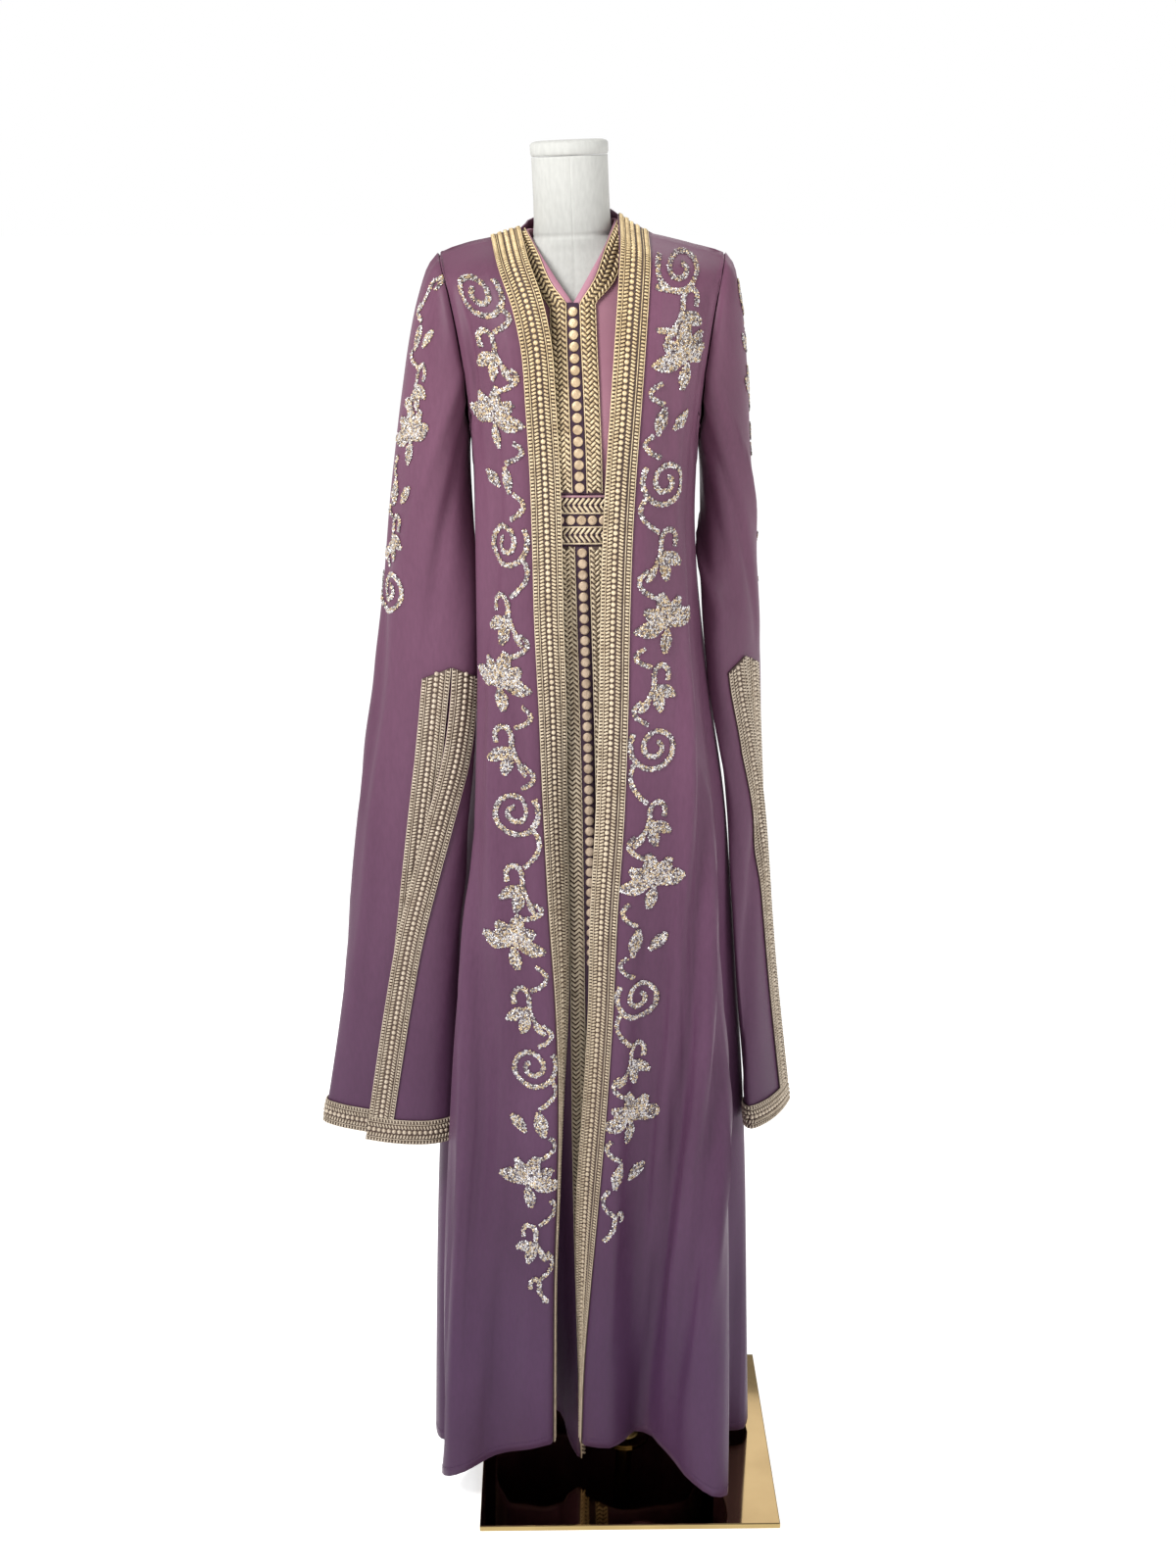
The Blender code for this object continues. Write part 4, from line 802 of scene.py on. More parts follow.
CREASES_BACK = [Crease(*row) for row in (
    (1.50, 0.070, 1.05, 0.110, 0.014, -0.0052),
    (1.46, 0.250, 0.95, 0.240, 0.014, 0.0052),
    (1.30, 0.160, 0.60, 0.190, 0.016, 0.0069),
    (1.20, 0.330, 0.50, 0.360, 0.014, -0.0069),
    (1.00, 0.090, 0.20, 0.120, 0.014, 0.0073),
    (0.92, 0.260, 0.08, 0.300, 0.015, -0.0081),
    (0.70, 0.400, 0.06, 0.440, 0.012, 0.0065),
    (0.52, 0.180, 0.05, 0.215, 0.011, -0.0061),
    (0.44, 0.500, 0.06, 0.520, 0.012, 0.0069),
)]
CREASES_SLEEVE = [Crease(*row) for row in (
    (1.54, 0.050, 1.36, 0.030, 0.008, -0.0040),
    (1.50, 0.085, 1.22, 0.075, 0.010, 0.0048),
    (1.42, 0.022, 1.12, 0.030, 0.008, -0.0044),
    (1.33, 0.110, 0.92, 0.095, 0.011, -0.0061),
    (1.20, 0.140, 0.70, 0.150, 0.011, 0.0065),
    (1.05, 0.080, 0.60, 0.085, 0.010, 0.0052),
    (0.95, 0.240, 0.55, 0.250, 0.011, -0.0061),
    (1.40, 0.220, 1.00, 0.215, 0.012, 0.0061),
    (0.80, 0.120, 0.53, 0.118, 0.009, -0.0048),
)]
CREASES_DRESS = [Crease(*row) for row in (
    (1.50, 0.060, 1.36, 0.055, 0.006, -0.0025),
    (1.18, 0.070, 0.30, 0.085, 0.012, 0.0052),
    (0.90, 0.120, 0.14, 0.130, 0.012, -0.0052),
)]

# Bead motifs on each front: height, distance of the middle from the trim, and half size
MOTIFS_LEFT = [Motif(*row) for row in (
    ("spiral", 1.552, 0.034, 0.029),
    ("sprig", 1.487, 0.036, 0.029),
    ("flower", 1.412, 0.046, 0.040),
    ("pair", 1.346, 0.038, 0.024),
    ("spiral", 1.276, 0.036, 0.032),
    ("sprig", 1.186, 0.040, 0.031),
    ("flower", 1.106, 0.050, 0.040),
    ("sprig", 1.030, 0.044, 0.031),
    ("spiral", 0.955, 0.038, 0.034),
    ("sprig", 0.860, 0.039, 0.031),
    ("flower", 0.786, 0.050, 0.040),
    ("sprig", 0.705, 0.040, 0.031),
    ("spiral", 0.632, 0.034, 0.032),
    ("pair", 0.552, 0.034, 0.028),
    ("flower", 0.471, 0.040, 0.040),
    ("sprig", 0.390, 0.034, 0.028),
    ("curl", 0.320, 0.026, 0.020),
)]
MOTIFS_RIGHT = [Motif(*row) for row in (
    ("spiral", 1.578, 0.036, 0.029),
    ("sprig", 1.530, 0.046, 0.029),
    ("flower", 1.478, 0.052, 0.040),
    ("pair", 1.412, 0.034, 0.025),
    ("spiral", 1.346, 0.038, 0.032),
    ("sprig", 1.262, 0.042, 0.031),
    ("flower", 1.177, 0.048, 0.040),
    ("sprig", 1.108, 0.036, 0.029),
    ("spiral", 1.038, 0.034, 0.032),
    ("sprig", 0.945, 0.036, 0.029),
    ("flower", 0.867, 0.042, 0.040),
    ("pair", 0.792, 0.034, 0.028),
    ("spiral", 0.722, 0.034, 0.032),
    ("sprig", 0.634, 0.034, 0.029),
    ("flower", 0.554, 0.038, 0.040),
    ("pair", 0.480, 0.032, 0.028),
    ("curl", 0.412, 0.026, 0.020),
)]
# On the sleeves the distance is from the outer line, towards the front
MOTIFS_SLEEVE_LEFT = [Motif(*row) for row in (
    ("curl", 1.548, 0.052, 0.020),
    ("pair", 1.498, 0.060, 0.024),
    ("sprig", 1.445, 0.072, 0.027),
    ("flower", 1.385, 0.068, 0.040),
    ("pair", 1.318, 0.046, 0.025),
    ("sprig", 1.268, 0.042, 0.028),
    ("spiral", 1.205, 0.042, 0.032),
)]
MOTIFS_SLEEVE_RIGHT = [Motif(*row) for row in (
    ("spiral", 1.545, 0.014, 0.026),
    ("pair", 1.490, 0.022, 0.025),
    ("flower", 1.435, 0.018, 0.035),
    ("sprig", 1.370, 0.014, 0.027),
    ("spiral", 1.305, 0.014, 0.029),
    ("pair", 1.250, 0.012, 0.025),
    ("flower", 1.190, 0.012, 0.031),
    ("curl", 1.130, 0.010, 0.019),
)]

LIGHTS = [Light(*row) for row in (
    ("key", (-1.9, -1.9, 3.4), (-0.05, 0, 1.05), 1.0, 112),
    ("fill", (2.6, -1.6, 2.2), (-0.05, 0, 1.0), 1.4, 34),
    ("back", (0.6, 2.4, 2.8), (-0.05, 0, 1.1), 2.0, 16),
)]


def steps_for(grid, axis, target):
    """How many fine steps each coarse step takes along an axis."""
    gaps = np.linalg.norm(np.diff(grid, axis=axis), axis=-1).mean(axis=1 - axis)
    return np.maximum(np.rint(gaps / target).astype(int), 1)


def refine(grid, row_steps, column_steps, corner=None):
    """Smooth curves through a grid's rows and columns, in these numbers of steps, sharp at the corner row."""
    for axis, counts in ((0, row_steps), (1, column_steps)):
        work = np.moveaxis(grid, axis, 0)
        gaps = np.linalg.norm(np.diff(work, axis=0), axis=-1).mean(axis=1)
        slopes = np.diff(work, axis=0) / gaps[:, None, None]
        tangents = np.empty_like(work)
        tangents[0], tangents[-1] = slopes[0], slopes[-1]
        before, after = gaps[:-1, None, None], gaps[1:, None, None]
        tangents[1:-1] = (slopes[:-1] * after + slopes[1:] * before) / (before + after)
        parts = []
        for i, (gap, count) in enumerate(zip(gaps, counts)):
            for t in np.arange(count) / count:
                ends = work[i] + (work[i + 1] - work[i]) * (3 - 2 * t) * t * t
                leave = slopes[i] if axis == 0 and i == corner else tangents[i]
                arrive = slopes[i] if axis == 0 and i + 1 == corner else tangents[i + 1]
                bend = t * (1 - t) * (leave * (1 - t) - arrive * t)
                parts.append(ends + gap * bend)
        parts.append(work[-1])
        grid = np.moveaxis(np.array(parts), 0, axis)
    return grid


def reaches(grid, first=0):
    """Distance of every point from the first column, along its row."""
    steps = np.linalg.norm(np.diff(grid, axis=1), axis=2)
    along = np.concatenate([np.zeros((len(grid), 1)), np.cumsum(steps, axis=1)], axis=1)
    return along - along[:, first : first + 1]


def creased(grid, creases, outward=1.0):
    """Grid with its soft creases, each fading at its ends."""
    reach, z = reaches(grid), grid[..., 2]
    push = np.zeros(z.shape)
    for crease in creases:
        share = np.clip((crease.high - z) / (crease.high - crease.low), 0, 1)
        middle = crease.reach_high + (crease.reach_low - crease.reach_high) * share
        middle += 0.25 * crease.half * np.sin(7 * share + 90 * crease.half)
        fade = np.sin(math.pi * np.clip(share, 0.001, 0.999)) ** 0.6
        push += crease.depth * fade * np.exp(-(((reach - middle) / crease.half) ** 2))
    return grid + normals_of(grid) * push[..., None] * outward


def cloth(name, grid, look, slot, node, thickness=CLOTH, closed_from=None):
    """Thin shell from a fine grid of its outer points."""
    rows, columns = grid.shape[:2]
    index = np.arange(rows * columns).reshape(rows, columns)
    if closed_from is not None:
        index[closed_from:, -1] = index[closed_from:, 0]
    quads = np.stack([index[:-1, :-1], index[:-1, 1:], index[1:, 1:], index[1:, :-1]], axis=-1)
    quads = quads.reshape(-1, 4)
    used, place = np.unique(quads, return_inverse=True)
    obj = piece(name, grid.reshape(-1, 3)[used], place.reshape(-1, 4), look, slot, node)
    wall = obj.modifiers.new("wall", "SOLIDIFY")
    wall.thickness = thickness
    wall.offset = -1
    return obj


def piece(name, points, faces, look, slot, node=None, marks=None):
    """Mesh that rides with the part and hides the node that it replaces. The slot argument is not used."""
    mesh = bpy.data.meshes.new(name)
    faces = faces.tolist() if isinstance(faces, np.ndarray) else faces
    mesh.from_pydata(np.asarray(points).tolist(), [], faces)
    obj = bpy.data.objects.new(name, mesh)
    bpy.context.scene.collection.objects.link(obj)
    for each in look if isinstance(look, list) else [look]:
        mesh.materials.append(MATERIALS[each])
    if marks is not None:
        mesh.polygons.foreach_set("material_index", marks)
    mesh.shade_smooth()
    mesh.update()
    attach(obj, "root")
    if node:
        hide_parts(node)
    return obj


class Strip:
    """A strip of cloth as a surface: v metres along it, u metres across it from its first column."""

    def __init__(self, grid):
        self.grid = grid
        self.normals = unit(normals_of(grid))
        middle = grid[:, grid.shape[1] // 2]
        self.along = totals(np.linalg.norm(np.diff(middle, axis=0), axis=1))
        self.length = self.along[-1]
        self.width = float(np.median(reaches(grid)[:, -1]))

    def at(self, v, u, values):
        rows, columns = self.grid.shape[:2]
        r = np.interp(v, self.along, np.arange(rows))
        c = np.clip(np.asarray(u) / self.width, 0, 1) * (columns - 1)
        r0, c0 = np.minimum(r.astype(int), rows - 2), np.minimum(c.astype(int), columns - 2)
        fr, fc = (r - r0)[:, None], (c - c0)[:, None]
        low = values[r0, c0] * (1 - fc) + values[r0, c0 + 1] * fc
        high = values[r0 + 1, c0] * (1 - fc) + values[r0 + 1, c0 + 1] * fc
        return low * (1 - fr) + high * fr

    def frames(self, v, u):
        """Places with their directions across, along and out of the strip."""
        v, u = np.broadcast_arrays(np.asarray(v, float), np.asarray(u, float))
        place, out = self.at(v, u, self.grid), self.at(v, u, self.normals)
        out = unit(out)
        ahead = self.at(v + LOOK_AHEAD, u, self.grid) - self.at(v - LOOK_AHEAD, u, self.grid)
        ahead = flattened(ahead, out)
        return place, np.cross(ahead, out), ahead, out


def stamped(frames, shape, turn=0.0, size=1.0):
    """Copies of one small shape at many places, as one list of points and one of faces."""
    place, across, ahead, out = frames
    points, faces = shape
    turn = np.broadcast_to(np.asarray(turn, float), (len(place),))[:, None]
    size = np.broadcast_to(np.asarray(size, float), (len(place),))[:, None]
    x = (points[:, 0] * np.cos(turn) - points[:, 1] * np.sin(turn)) * size
    y = (points[:, 0] * np.sin(turn) + points[:, 1] * np.cos(turn)) * size
    z = points[:, 2] * size
    made = place[:, None] + x[..., None] * across[:, None] + y[..., None] * ahead[:, None]
    made = made + z[..., None] * out[:, None]
    count = len(points)
    offsets = (np.arange(len(place)) * count)[:, None, None]
    return made.reshape(-1, 3), (faces[None] + offsets).reshape(-1, faces.shape[1])


def joined(parts):
    points, faces, start = [], [], 0
    for part_points, part_faces in parts:
        points.append(part_points)
        faces.append(part_faces + start)
        start += len(part_points)
    return np.concatenate(points), np.concatenate(faces)


def bar_shape(length, width, height):
    """Short rounded thread along x."""
    half, side = length / 2, width / 2
    points = [
        (-half, -side * 0.5, 0), (half, -side * 0.5, 0), (half, side * 0.5, 0), (-half, side * 0.5, 0),
        (-half * 0.86, -side, height * 0.5), (half * 0.86, -side, height * 0.5),
        (half * 0.86, side, height * 0.5), (-half * 0.86, side, height * 0.5),
        (-half * 0.70, 0, height), (half * 0.70, 0, height),
    ]
    quads = [(0, 1, 5, 4), (1, 2, 6, 5), (2, 3, 7, 6), (3, 0, 4, 7), (4, 5, 9, 8), (6, 7, 8, 9)]
    tris = [(5, 6, 9), (7, 4, 8)]
    return np.array(points), np.array(split(quads) + tris)


def split(quads):
    return [t for a, b, c, d in quads for t in ((a, b, c), (a, c, d))]


def dome_shape(radius, height, around=7):
    turn = 2 * math.pi * np.arange(around) / around
    points = [(radius * math.cos(a), radius * math.sin(a), 0) for a in turn]
    points += [(radius * 0.72 * math.cos(a), radius * 0.72 * math.sin(a), height * 0.72) for a in turn]
    points.append((0, 0, height))
    faces = []
    for i in range(around):
        n = (i + 1) % around
        faces += split([(i, n, around + n, around + i)]) + [(around + i, around + n, 2 * around)]
    return np.array(points), np.array(faces)


def bead_shape(radius):
    """Faceted bead, a little flat."""
    turn = 2 * math.pi * np.arange(5) / 5
    points = [(radius * math.cos(a), radius * math.sin(a), radius * 0.45) for a in turn]
    points += [(0, 0, -radius * 0.2), (0, 0, radius * 1.15)]
    faces = []
    for i in range(5):
        n = (i + 1) % 5
        faces += [(n, i, 5), (i, n, 6)]
    return np.array(points), np.array(faces)


def button_shape():
    """Round button made of a coiled cord."""
    points, faces = [], []
    for ring in range(BUTTON_RINGS + 1):
        share = ring / BUTTON_RINGS
        for k in range(BUTTON_AROUND):
            angle = 2 * math.pi * k / BUTTON_AROUND
            radius = BUTTON_RADIUS * 1.02 * (1 - share)
            crown = BUTTON_HEIGHT * (0.35 + 0.75 * math.sqrt(max(1 - (1 - share) ** 2, 0)))
            coil = 0.00042 * math.cos(2 * math.pi * (radius / 0.00175 + k / BUTTON_AROUND))
            points.append((radius * math.cos(angle), radius * math.sin(angle), crown + coil))
    for k in range(BUTTON_AROUND):
        angle = 2 * math.pi * k / BUTTON_AROUND
        points.append((BUTTON_RADIUS * 0.97 * math.cos(angle), BUTTON_RADIUS * 0.97 * math.sin(angle), 0))
    base = (BUTTON_RINGS + 1) * BUTTON_AROUND
    for k in range(BUTTON_AROUND):
        n = (k + 1) % BUTTON_AROUND
        faces += split([(base + k, base + n, n, k)])
        for ring in range(BUTTON_RINGS):
            a, b = ring * BUTTON_AROUND, (ring + 1) * BUTTON_AROUND
            faces += split([(a + k, a + n, b + n, b + k)])
    return np.array(points), np.array(faces)


def cord(strip, u, radius, lift):
    """Round cord sewn along a strip, as a tube of six sides."""
    v = np.linspace(0, strip.length, max(int(strip.length / CORD_STEP), 4))
    place, across, _, out = strip.frames(v, u)
    turn = 2 * math.pi * np.arange(6) / 6
    ring = across[:, None] * np.cos(turn)[:, None] + out[:, None] * np.sin(turn)[:, None]
    points = (place + out * lift)[:, None] + ring * radius
    index = np.arange(len(v) * 6).reshape(len(v), 6)
    after = np.roll(index, -1, axis=1)
    quads = np.stack([index[:-1], after[:-1], after[1:], index[1:]], axis=-1).reshape(-1, 4)
    return points.reshape(-1, 3), np.array(split(quads.tolist()))


def loop_braid(strip):
    """Wide trim: looped edges, two plaited rows and a row of small knots down its middle."""
    scale = strip.width / TRIM_WIDTH
    parts = []
    v = np.arange(BRAID_STEP / 2, strip.length, BRAID_STEP)
    for row in TRIM_ROWS:
        bar = bar_shape(row.length * scale, row.width, row.rise)
        parts.append(stamped(strip.frames(v, row.u * scale), bar, row.turn))
    centres = np.arange(0.003, strip.length, KNOT_STEP)
    parts.append(stamped(strip.frames(centres, TRIM_WIDTH / 2 * scale), dome_shape(0.0029, 0.0025)))
    for u in TRIM_CORDS:
        parts.append(cord(strip, u * scale, 0.0005, CORD_LIFT))
    return joined(parts)


def slanted(strip, v, u, width, lean):
    """One row of slanting threads along a strip."""
    return stamped(strip.frames(v, u), bar_shape(width, 0.0030, 0.0021), lean)


def chevron_braid(strip, rows=3, margin=0.0014):
    """Narrow trim: slanting threads in rows that lean to and fro, between two cords."""
    width = strip.width - 2 * margin
    parts = []
    for row in range(rows):
        v = np.arange(CHEVRON_STEP / 2 * (1 + row % 2), strip.length - 0.001, CHEVRON_STEP)
        u = margin + width * (row + 0.5) / rows
        parts.append(slanted(strip, v, u, width / rows * 1.36, 0.72 if row % 2 else -0.72))
    for u in (0.0006, strip.width - 0.0006):
        parts.append(cord(strip, u, 0.0007, CORD_LIFT))
    return joined(parts)


def arc(x, z, radius, start, end, count=14):
    """Points on a circle's arc, in degrees, from start to end."""
    angle = np.radians(np.linspace(start, end, count))
    return np.stack([x + radius * np.cos(angle), z + radius * np.sin(angle)], axis=-1)


def leaf(x, z, length, heading):
    """Middle line of a leaf from its foot, and its width along it."""
    angle = math.radians(heading)
    t = np.linspace(0, 1, 9)[:, None]
    line = np.array([x, z]) + t * length * np.array([math.cos(angle), math.sin(angle)])
    return line, 0.50 * length * np.sin(math.pi * np.clip(t[:, 0], 0.08, 0.94)) ** 0.8


def rounded(corners):
    """Smooth line that keeps near its corners."""
    line = np.array(corners, float)
    for _ in range(3):
        cut = np.stack([line[:-1] * 0.75 + line[1:] * 0.25, line[:-1] * 0.25 + line[1:] * 0.75], axis=1)
        line = np.concatenate([line[:1], cut.reshape(-1, 2), line[-1:]])
    return line


def motif_strokes(kind, size):
    """Strokes of one motif in its own plane, x away from the trim, as lines with their widths."""
    strokes = []
    if kind == "spiral":
        turn = np.linspace(0, 1.8 * 2 * math.pi, 60)
        radius = size * (1 - 0.84 * (turn / turn[-1]) ** 0.9)
        line = np.stack([radius * np.cos(turn + 2.6), radius * np.sin(turn + 2.6)], axis=-1)
        strokes.append((line, STEM))
    elif kind == "flower":
        for k, heading in enumerate((20, 62, 104, 146, 188)):
            reach = size * (1.0 if k % 2 == 0 else 0.9)
            strokes.append(leaf(0.003 * math.cos(math.radians(heading)), 0.003, reach, heading))
        strokes.append(leaf(0.0, -0.001, size * 0.75, 262))
    elif kind in ("sprig", "curl"):
        strokes.append((rounded(CANE) * size, STEM))
        if kind == "sprig":
            strokes.append(leaf(-size * 0.05, size * 0.05, size * 0.95, -28))
            strokes.append(leaf(-size * 0.12, -size * 0.10, size * 0.95, -72))
            strokes.append(leaf(-size * 0.40, -size * 0.40, size * 0.60, -118))
    elif kind == "pair":
        strokes.append(leaf(-size * 0.5, -size * 0.5, size * 1.25, 78))
        strokes.append(leaf(size * 0.35, -size * 0.3, size * 1.05, 48))
    return strokes


def vine(first, second, swing):
    """Stem that swings from one motif towards the trim and on to the next one."""
    top = np.array([first.off - first.size * 0.75, first.z - first.size * 0.55])
    end = np.array([second.off - second.size * 0.30, second.z + second.size * 0.85])
    side = np.array([swing * (first.off + second.off) / 2, (top[1] + end[1]) / 2])
    t = np.linspace(0, 1, 26)[:, None]
    line = (1 - t) ** 2 * top + 2 * t * (1 - t) * side + t**2 * end
    return line, VINE


def bead_places(strokes, rng):
    """Places of beads on a plane: rows of them along each stroke, a little uneven."""
    found = []
    for line, widths in strokes:
        along = totals(np.hypot(*np.diff(line, axis=0).T))
        for at in np.arange(0, along[-1], BEAD_STEP):
            place = np.array([np.interp(at, along, line[:, k]) for k in (0, 1)])
            ahead = np.array([np.interp(at + 1e-3, along, line[:, k]) for k in (0, 1)]) - place
            ahead /= max(np.hypot(*ahead), 1e-9)
            width = float(np.interp(at, along, np.broadcast_to(widths, len(line))))
            count = max(int(round(width / 0.0019)), 1) + 1
            for k in range(count):
                off = (k / (count - 1) - 0.5) * max(width - 0.001, 0.0012)
                shake = rng.uniform(-BEAD_SHAKE, BEAD_SHAKE, 2)
                found.append(place + off * np.array([-ahead[1], ahead[0]]) + shake)
    return np.array(found)


def on_cloth(grid, first, queries):
    """Places and directions on a fine grid for (distance from a column, height) pairs."""
    reach = reaches(grid, first)
    keys = np.stack([reach, grid[..., 2]], axis=-1)
    flat = keys.reshape(-1, 2)
    rows, cols = grid.shape[:2]
    normals = unit(normals_of(grid))
    found = []
    for chunk in np.array_split(queries, max(len(queries) // 400, 1)):
        nearest = ((chunk[:, None] - flat[None]) ** 2).sum(axis=2).argmin(axis=1)
        r, c = np.clip(nearest // cols, 1, rows - 2), np.clip(nearest % cols, 1, cols - 2)
        du = (keys[r, c + 1] - keys[r, c - 1]) / 2
        dv = (keys[r + 1, c] - keys[r - 1, c]) / 2
        left = chunk - keys[r, c]
        det = du[:, 0] * dv[:, 1] - du[:, 1] * dv[:, 0]
        a = np.clip((left[:, 0] * dv[:, 1] - left[:, 1] * dv[:, 0]) / det, -1, 1)[:, None]
        b = np.clip((du[:, 0] * left[:, 1] - du[:, 1] * left[:, 0]) / det, -1, 1)[:, None]
        gu = np.where(a > 0, grid[r, c + 1] - grid[r, c], grid[r, c] - grid[r, c - 1])
        gv = np.where(b > 0, grid[r + 1, c] - grid[r, c], grid[r, c] - grid[r - 1, c])
        found.append((grid[r, c] + a * gu + b * gv, normals[r, c], unit(gv)))
    return [np.concatenate(part) for part in zip(*found)]


def beads(name, grid, outward, first, motifs, sign, seed, swing):
    """Beads of all motifs on one panel, as one mesh with silver, gold and dark ones."""
    rng = np.random.default_rng(seed)
    queries = []
    for k, motif in enumerate(motifs):
        strokes = motif_strokes(motif.kind, motif.size)
        flip = -1 if motif.kind == "spiral" and k % 2 else 1
        places = bead_places(strokes, rng) * [flip, 1]
        queries.append(places + [motif.off, motif.z])
        if k:
            queries.append(bead_places([vine(motifs[k - 1], motif, swing)], rng))
    queries = np.concatenate(queries) * [sign, 1]
    place, out, ahead = on_cloth(grid, first, queries)
    out = out * outward
    up = unit(out + rng.normal(0, BEAD_TILT, (len(place), 3)))
    ahead = flattened(flattened(ahead, out), up)
    frames = (place + out * BEAD_LIFT, np.cross(ahead, up), ahead, up)
    points, faces = stamped(
        frames, bead_shape(BEAD_RADIUS), rng.uniform(0, 6.28, len(place)), rng.uniform(0.75, 1.2, len(place))
    )
    marks = np.repeat(rng.choice(3, len(place), p=(0.40, 0.30, 0.30)), 10)
    made = piece(name, points, faces, ["bead_silver", "bead_gold", "bead_dark"], "gold_braid", marks=marks)
    made.data.shade_flat()
    return made


def flat_of(grid):
    """Width, length and area of the flat cloth that a grid was draped from."""
    across = np.linalg.norm(np.diff(grid, axis=1), axis=2).sum(axis=1).max()
    along = np.linalg.norm(np.diff(grid, axis=0), axis=2).sum(axis=0).max()
    first = np.cross(grid[1:, :-1] - grid[:-1, :-1], grid[:-1, 1:] - grid[:-1, :-1])
    second = np.cross(grid[1:, :-1] - grid[1:, 1:], grid[:-1, 1:] - grid[1:, 1:])
    area = (np.linalg.norm(first, axis=2).sum() + np.linalg.norm(second, axis=2).sum()) / 2
    flat = (round(float(across), 4), round(float(along), 4))
    return flat, round(float(min(area, flat[0] * flat[1])), 5)


def declare(obj, grid):
    flat, area = flat_of(grid)


def feed(tree, socket, value):
    """Sets an input to a plain value, or links it to another node's output."""
    if isinstance(value, bpy.types.NodeSocket):
        tree.links.new(value, socket)
    else:
        socket.default_value = value


def shader_node(tree, kind, **inputs):
    node = tree.nodes.new("ShaderNode" + kind)
    for name, value in inputs.items():
        feed(tree, node.inputs[name], value)
    return node


def material(name, roughness, metallic=0.0, **sockets):
    made = bpy.data.materials.new(name)
    made.use_nodes = True
    tree = made.node_tree
    shader = tree.nodes["Principled BSDF"]
    for socket, value in {"Roughness": roughness, "Metallic": metallic, **sockets}.items():
        shader.inputs[socket.replace("_", " ")].default_value = value
    MATERIALS[name] = made
    place = shader_node(tree, "TexCoord").outputs["Object"]
    return tree, shader, place


def noise(tree, place, scale, detail=2.0, stretch=None):
    if stretch:
        place = shader_node(tree, "Mapping", Vector=place, Scale=stretch).outputs["Vector"]
    return shader_node(tree, "TexNoise", Vector=place, Scale=scale, Detail=detail).outputs["Fac"]


def wave(tree, place, direction, scale, warp=0.0):
    node = shader_node(tree, "TexWave", Vector=place, Scale=scale, Distortion=warp)
    node.bands_direction = direction
    return node.outputs["Fac"]


def height(tree, place):
    return shader_node(tree, "SeparateXYZ", Vector=place).outputs["Z"]


def maths(tree, kind, *values):
    node = shader_node(tree, "Math")
    node.operation = kind
    for socket, value in zip(node.inputs, values):
        feed(tree, socket, value)
    return node.outputs["Value"]


def ramp(tree, factor, stops):
    node = shader_node(tree, "ValToRGB", Fac=factor)
    marks = node.color_ramp.elements
    while len(marks) < len(stops):
        marks.new(0.5)
    for mark, (at, colour) in zip(marks, stops):
        mark.position = at
        mark.color = (*colour, 1)
    return node.outputs["Color"]


def mixed(tree, factor, first, second, kind="MIX"):
    """Mix of two colours. A mix node's colours are its inputs 6 and 7, and its colour output is 2."""
    node = shader_node(tree, "Mix")
    node.data_type = "RGBA"
    node.blend_type = kind
    for index, value in ((0, factor), (6, first), (7, second)):
        feed(tree, node.inputs[index], value)
    return node.outputs[2]


def bump(tree, shader, value, strength, distance):
    node = shader_node(tree, "Bump", Strength=strength, Distance=distance, Height=value)
    feed(tree, shader.inputs["Normal"], node.outputs["Normal"])


def coloured(tree, shader, colour):
    feed(tree, shader.inputs["Base Color"], colour)


def build_fabric(name, dark, light, roughness, sheen, tint, weave_size=0.0009, low=(1, 1, 1)):
    """Woven satin: soft blotches of colour, a fine weave, a sheen at grazing angles, and, through low,
    painted shade that darkens it towards the hem.
    """
    lustre = {"Sheen_Weight": sheen, "Sheen_Roughness": 0.35, "Sheen_Tint": (*tint, 1)}
    tree, shader, place = material(name, roughness, Specular_IOR_Level=0.22, **lustre)
    blotch = noise(tree, place, 7.0, 3.0, (1, 1, 0.45))
    base = ramp(tree, blotch, [(0.32, dark), (0.68, light)])
    # painted shade: a ramp by height multiplies the colour by low at the hem and fades out higher up
    level = maths(tree, "MULTIPLY", height(tree, place), 0.62)
    base = mixed(tree, 1.0, base, ramp(tree, level, [(0.15, low), (0.90, (1, 1, 1))]), "MULTIPLY")
    slub = noise(tree, place, 260.0, 2.0, (1, 1, 0.30))
    threads = ramp(tree, slub, [(0.3, (0.90, 0.90, 0.90)), (0.7, (1.0, 1.0, 1.0))])
    coloured(tree, shader, mixed(tree, 1.0, base, threads, "MULTIPLY"))
    rough = maths(tree, "MULTIPLY_ADD", slub, 0.16, roughness - 0.08)
    feed(tree, shader.inputs["Roughness"], rough)
    scale = 0.314 / weave_size
    weft, warp = wave(tree, place, "Z", scale, 0.6), wave(tree, place, "X", scale, 0.6)
    weave = maths(tree, "ADD", weft, maths(tree, "MULTIPLY", warp, 0.7))
    bump(tree, shader, maths(tree, "ADD", weave, slub), 0.22, 0.00025)


def pinker_and_painted_light_above(tree, level, colours):
    """Satin painted lighter and pinker above a level: partly the dress's own pinker tone, partly painted
    light on the upper satin.
    """
    shader = tree.nodes["Principled BSDF"]
    lower = shader.inputs["Base Color"].links[0].from_socket
    place = shader_node(tree, "TexCoord").outputs["Object"]
    # lighter, pinker colours: partly painted light, partly the dress's own pinker tone
    base = ramp(tree, noise(tree, place, 9.0, 3.0), [(0.32, colours[0]), (0.68, colours[1])])
    share = maths(tree, "MULTIPLY_ADD", height(tree, place), 12.0, -12.0 * level)
    clamped = maths(tree, "MINIMUM", maths(tree, "MAXIMUM", share, 0.0), 1.0)
    coloured(tree, shader, mixed(tree, clamped, lower, base))


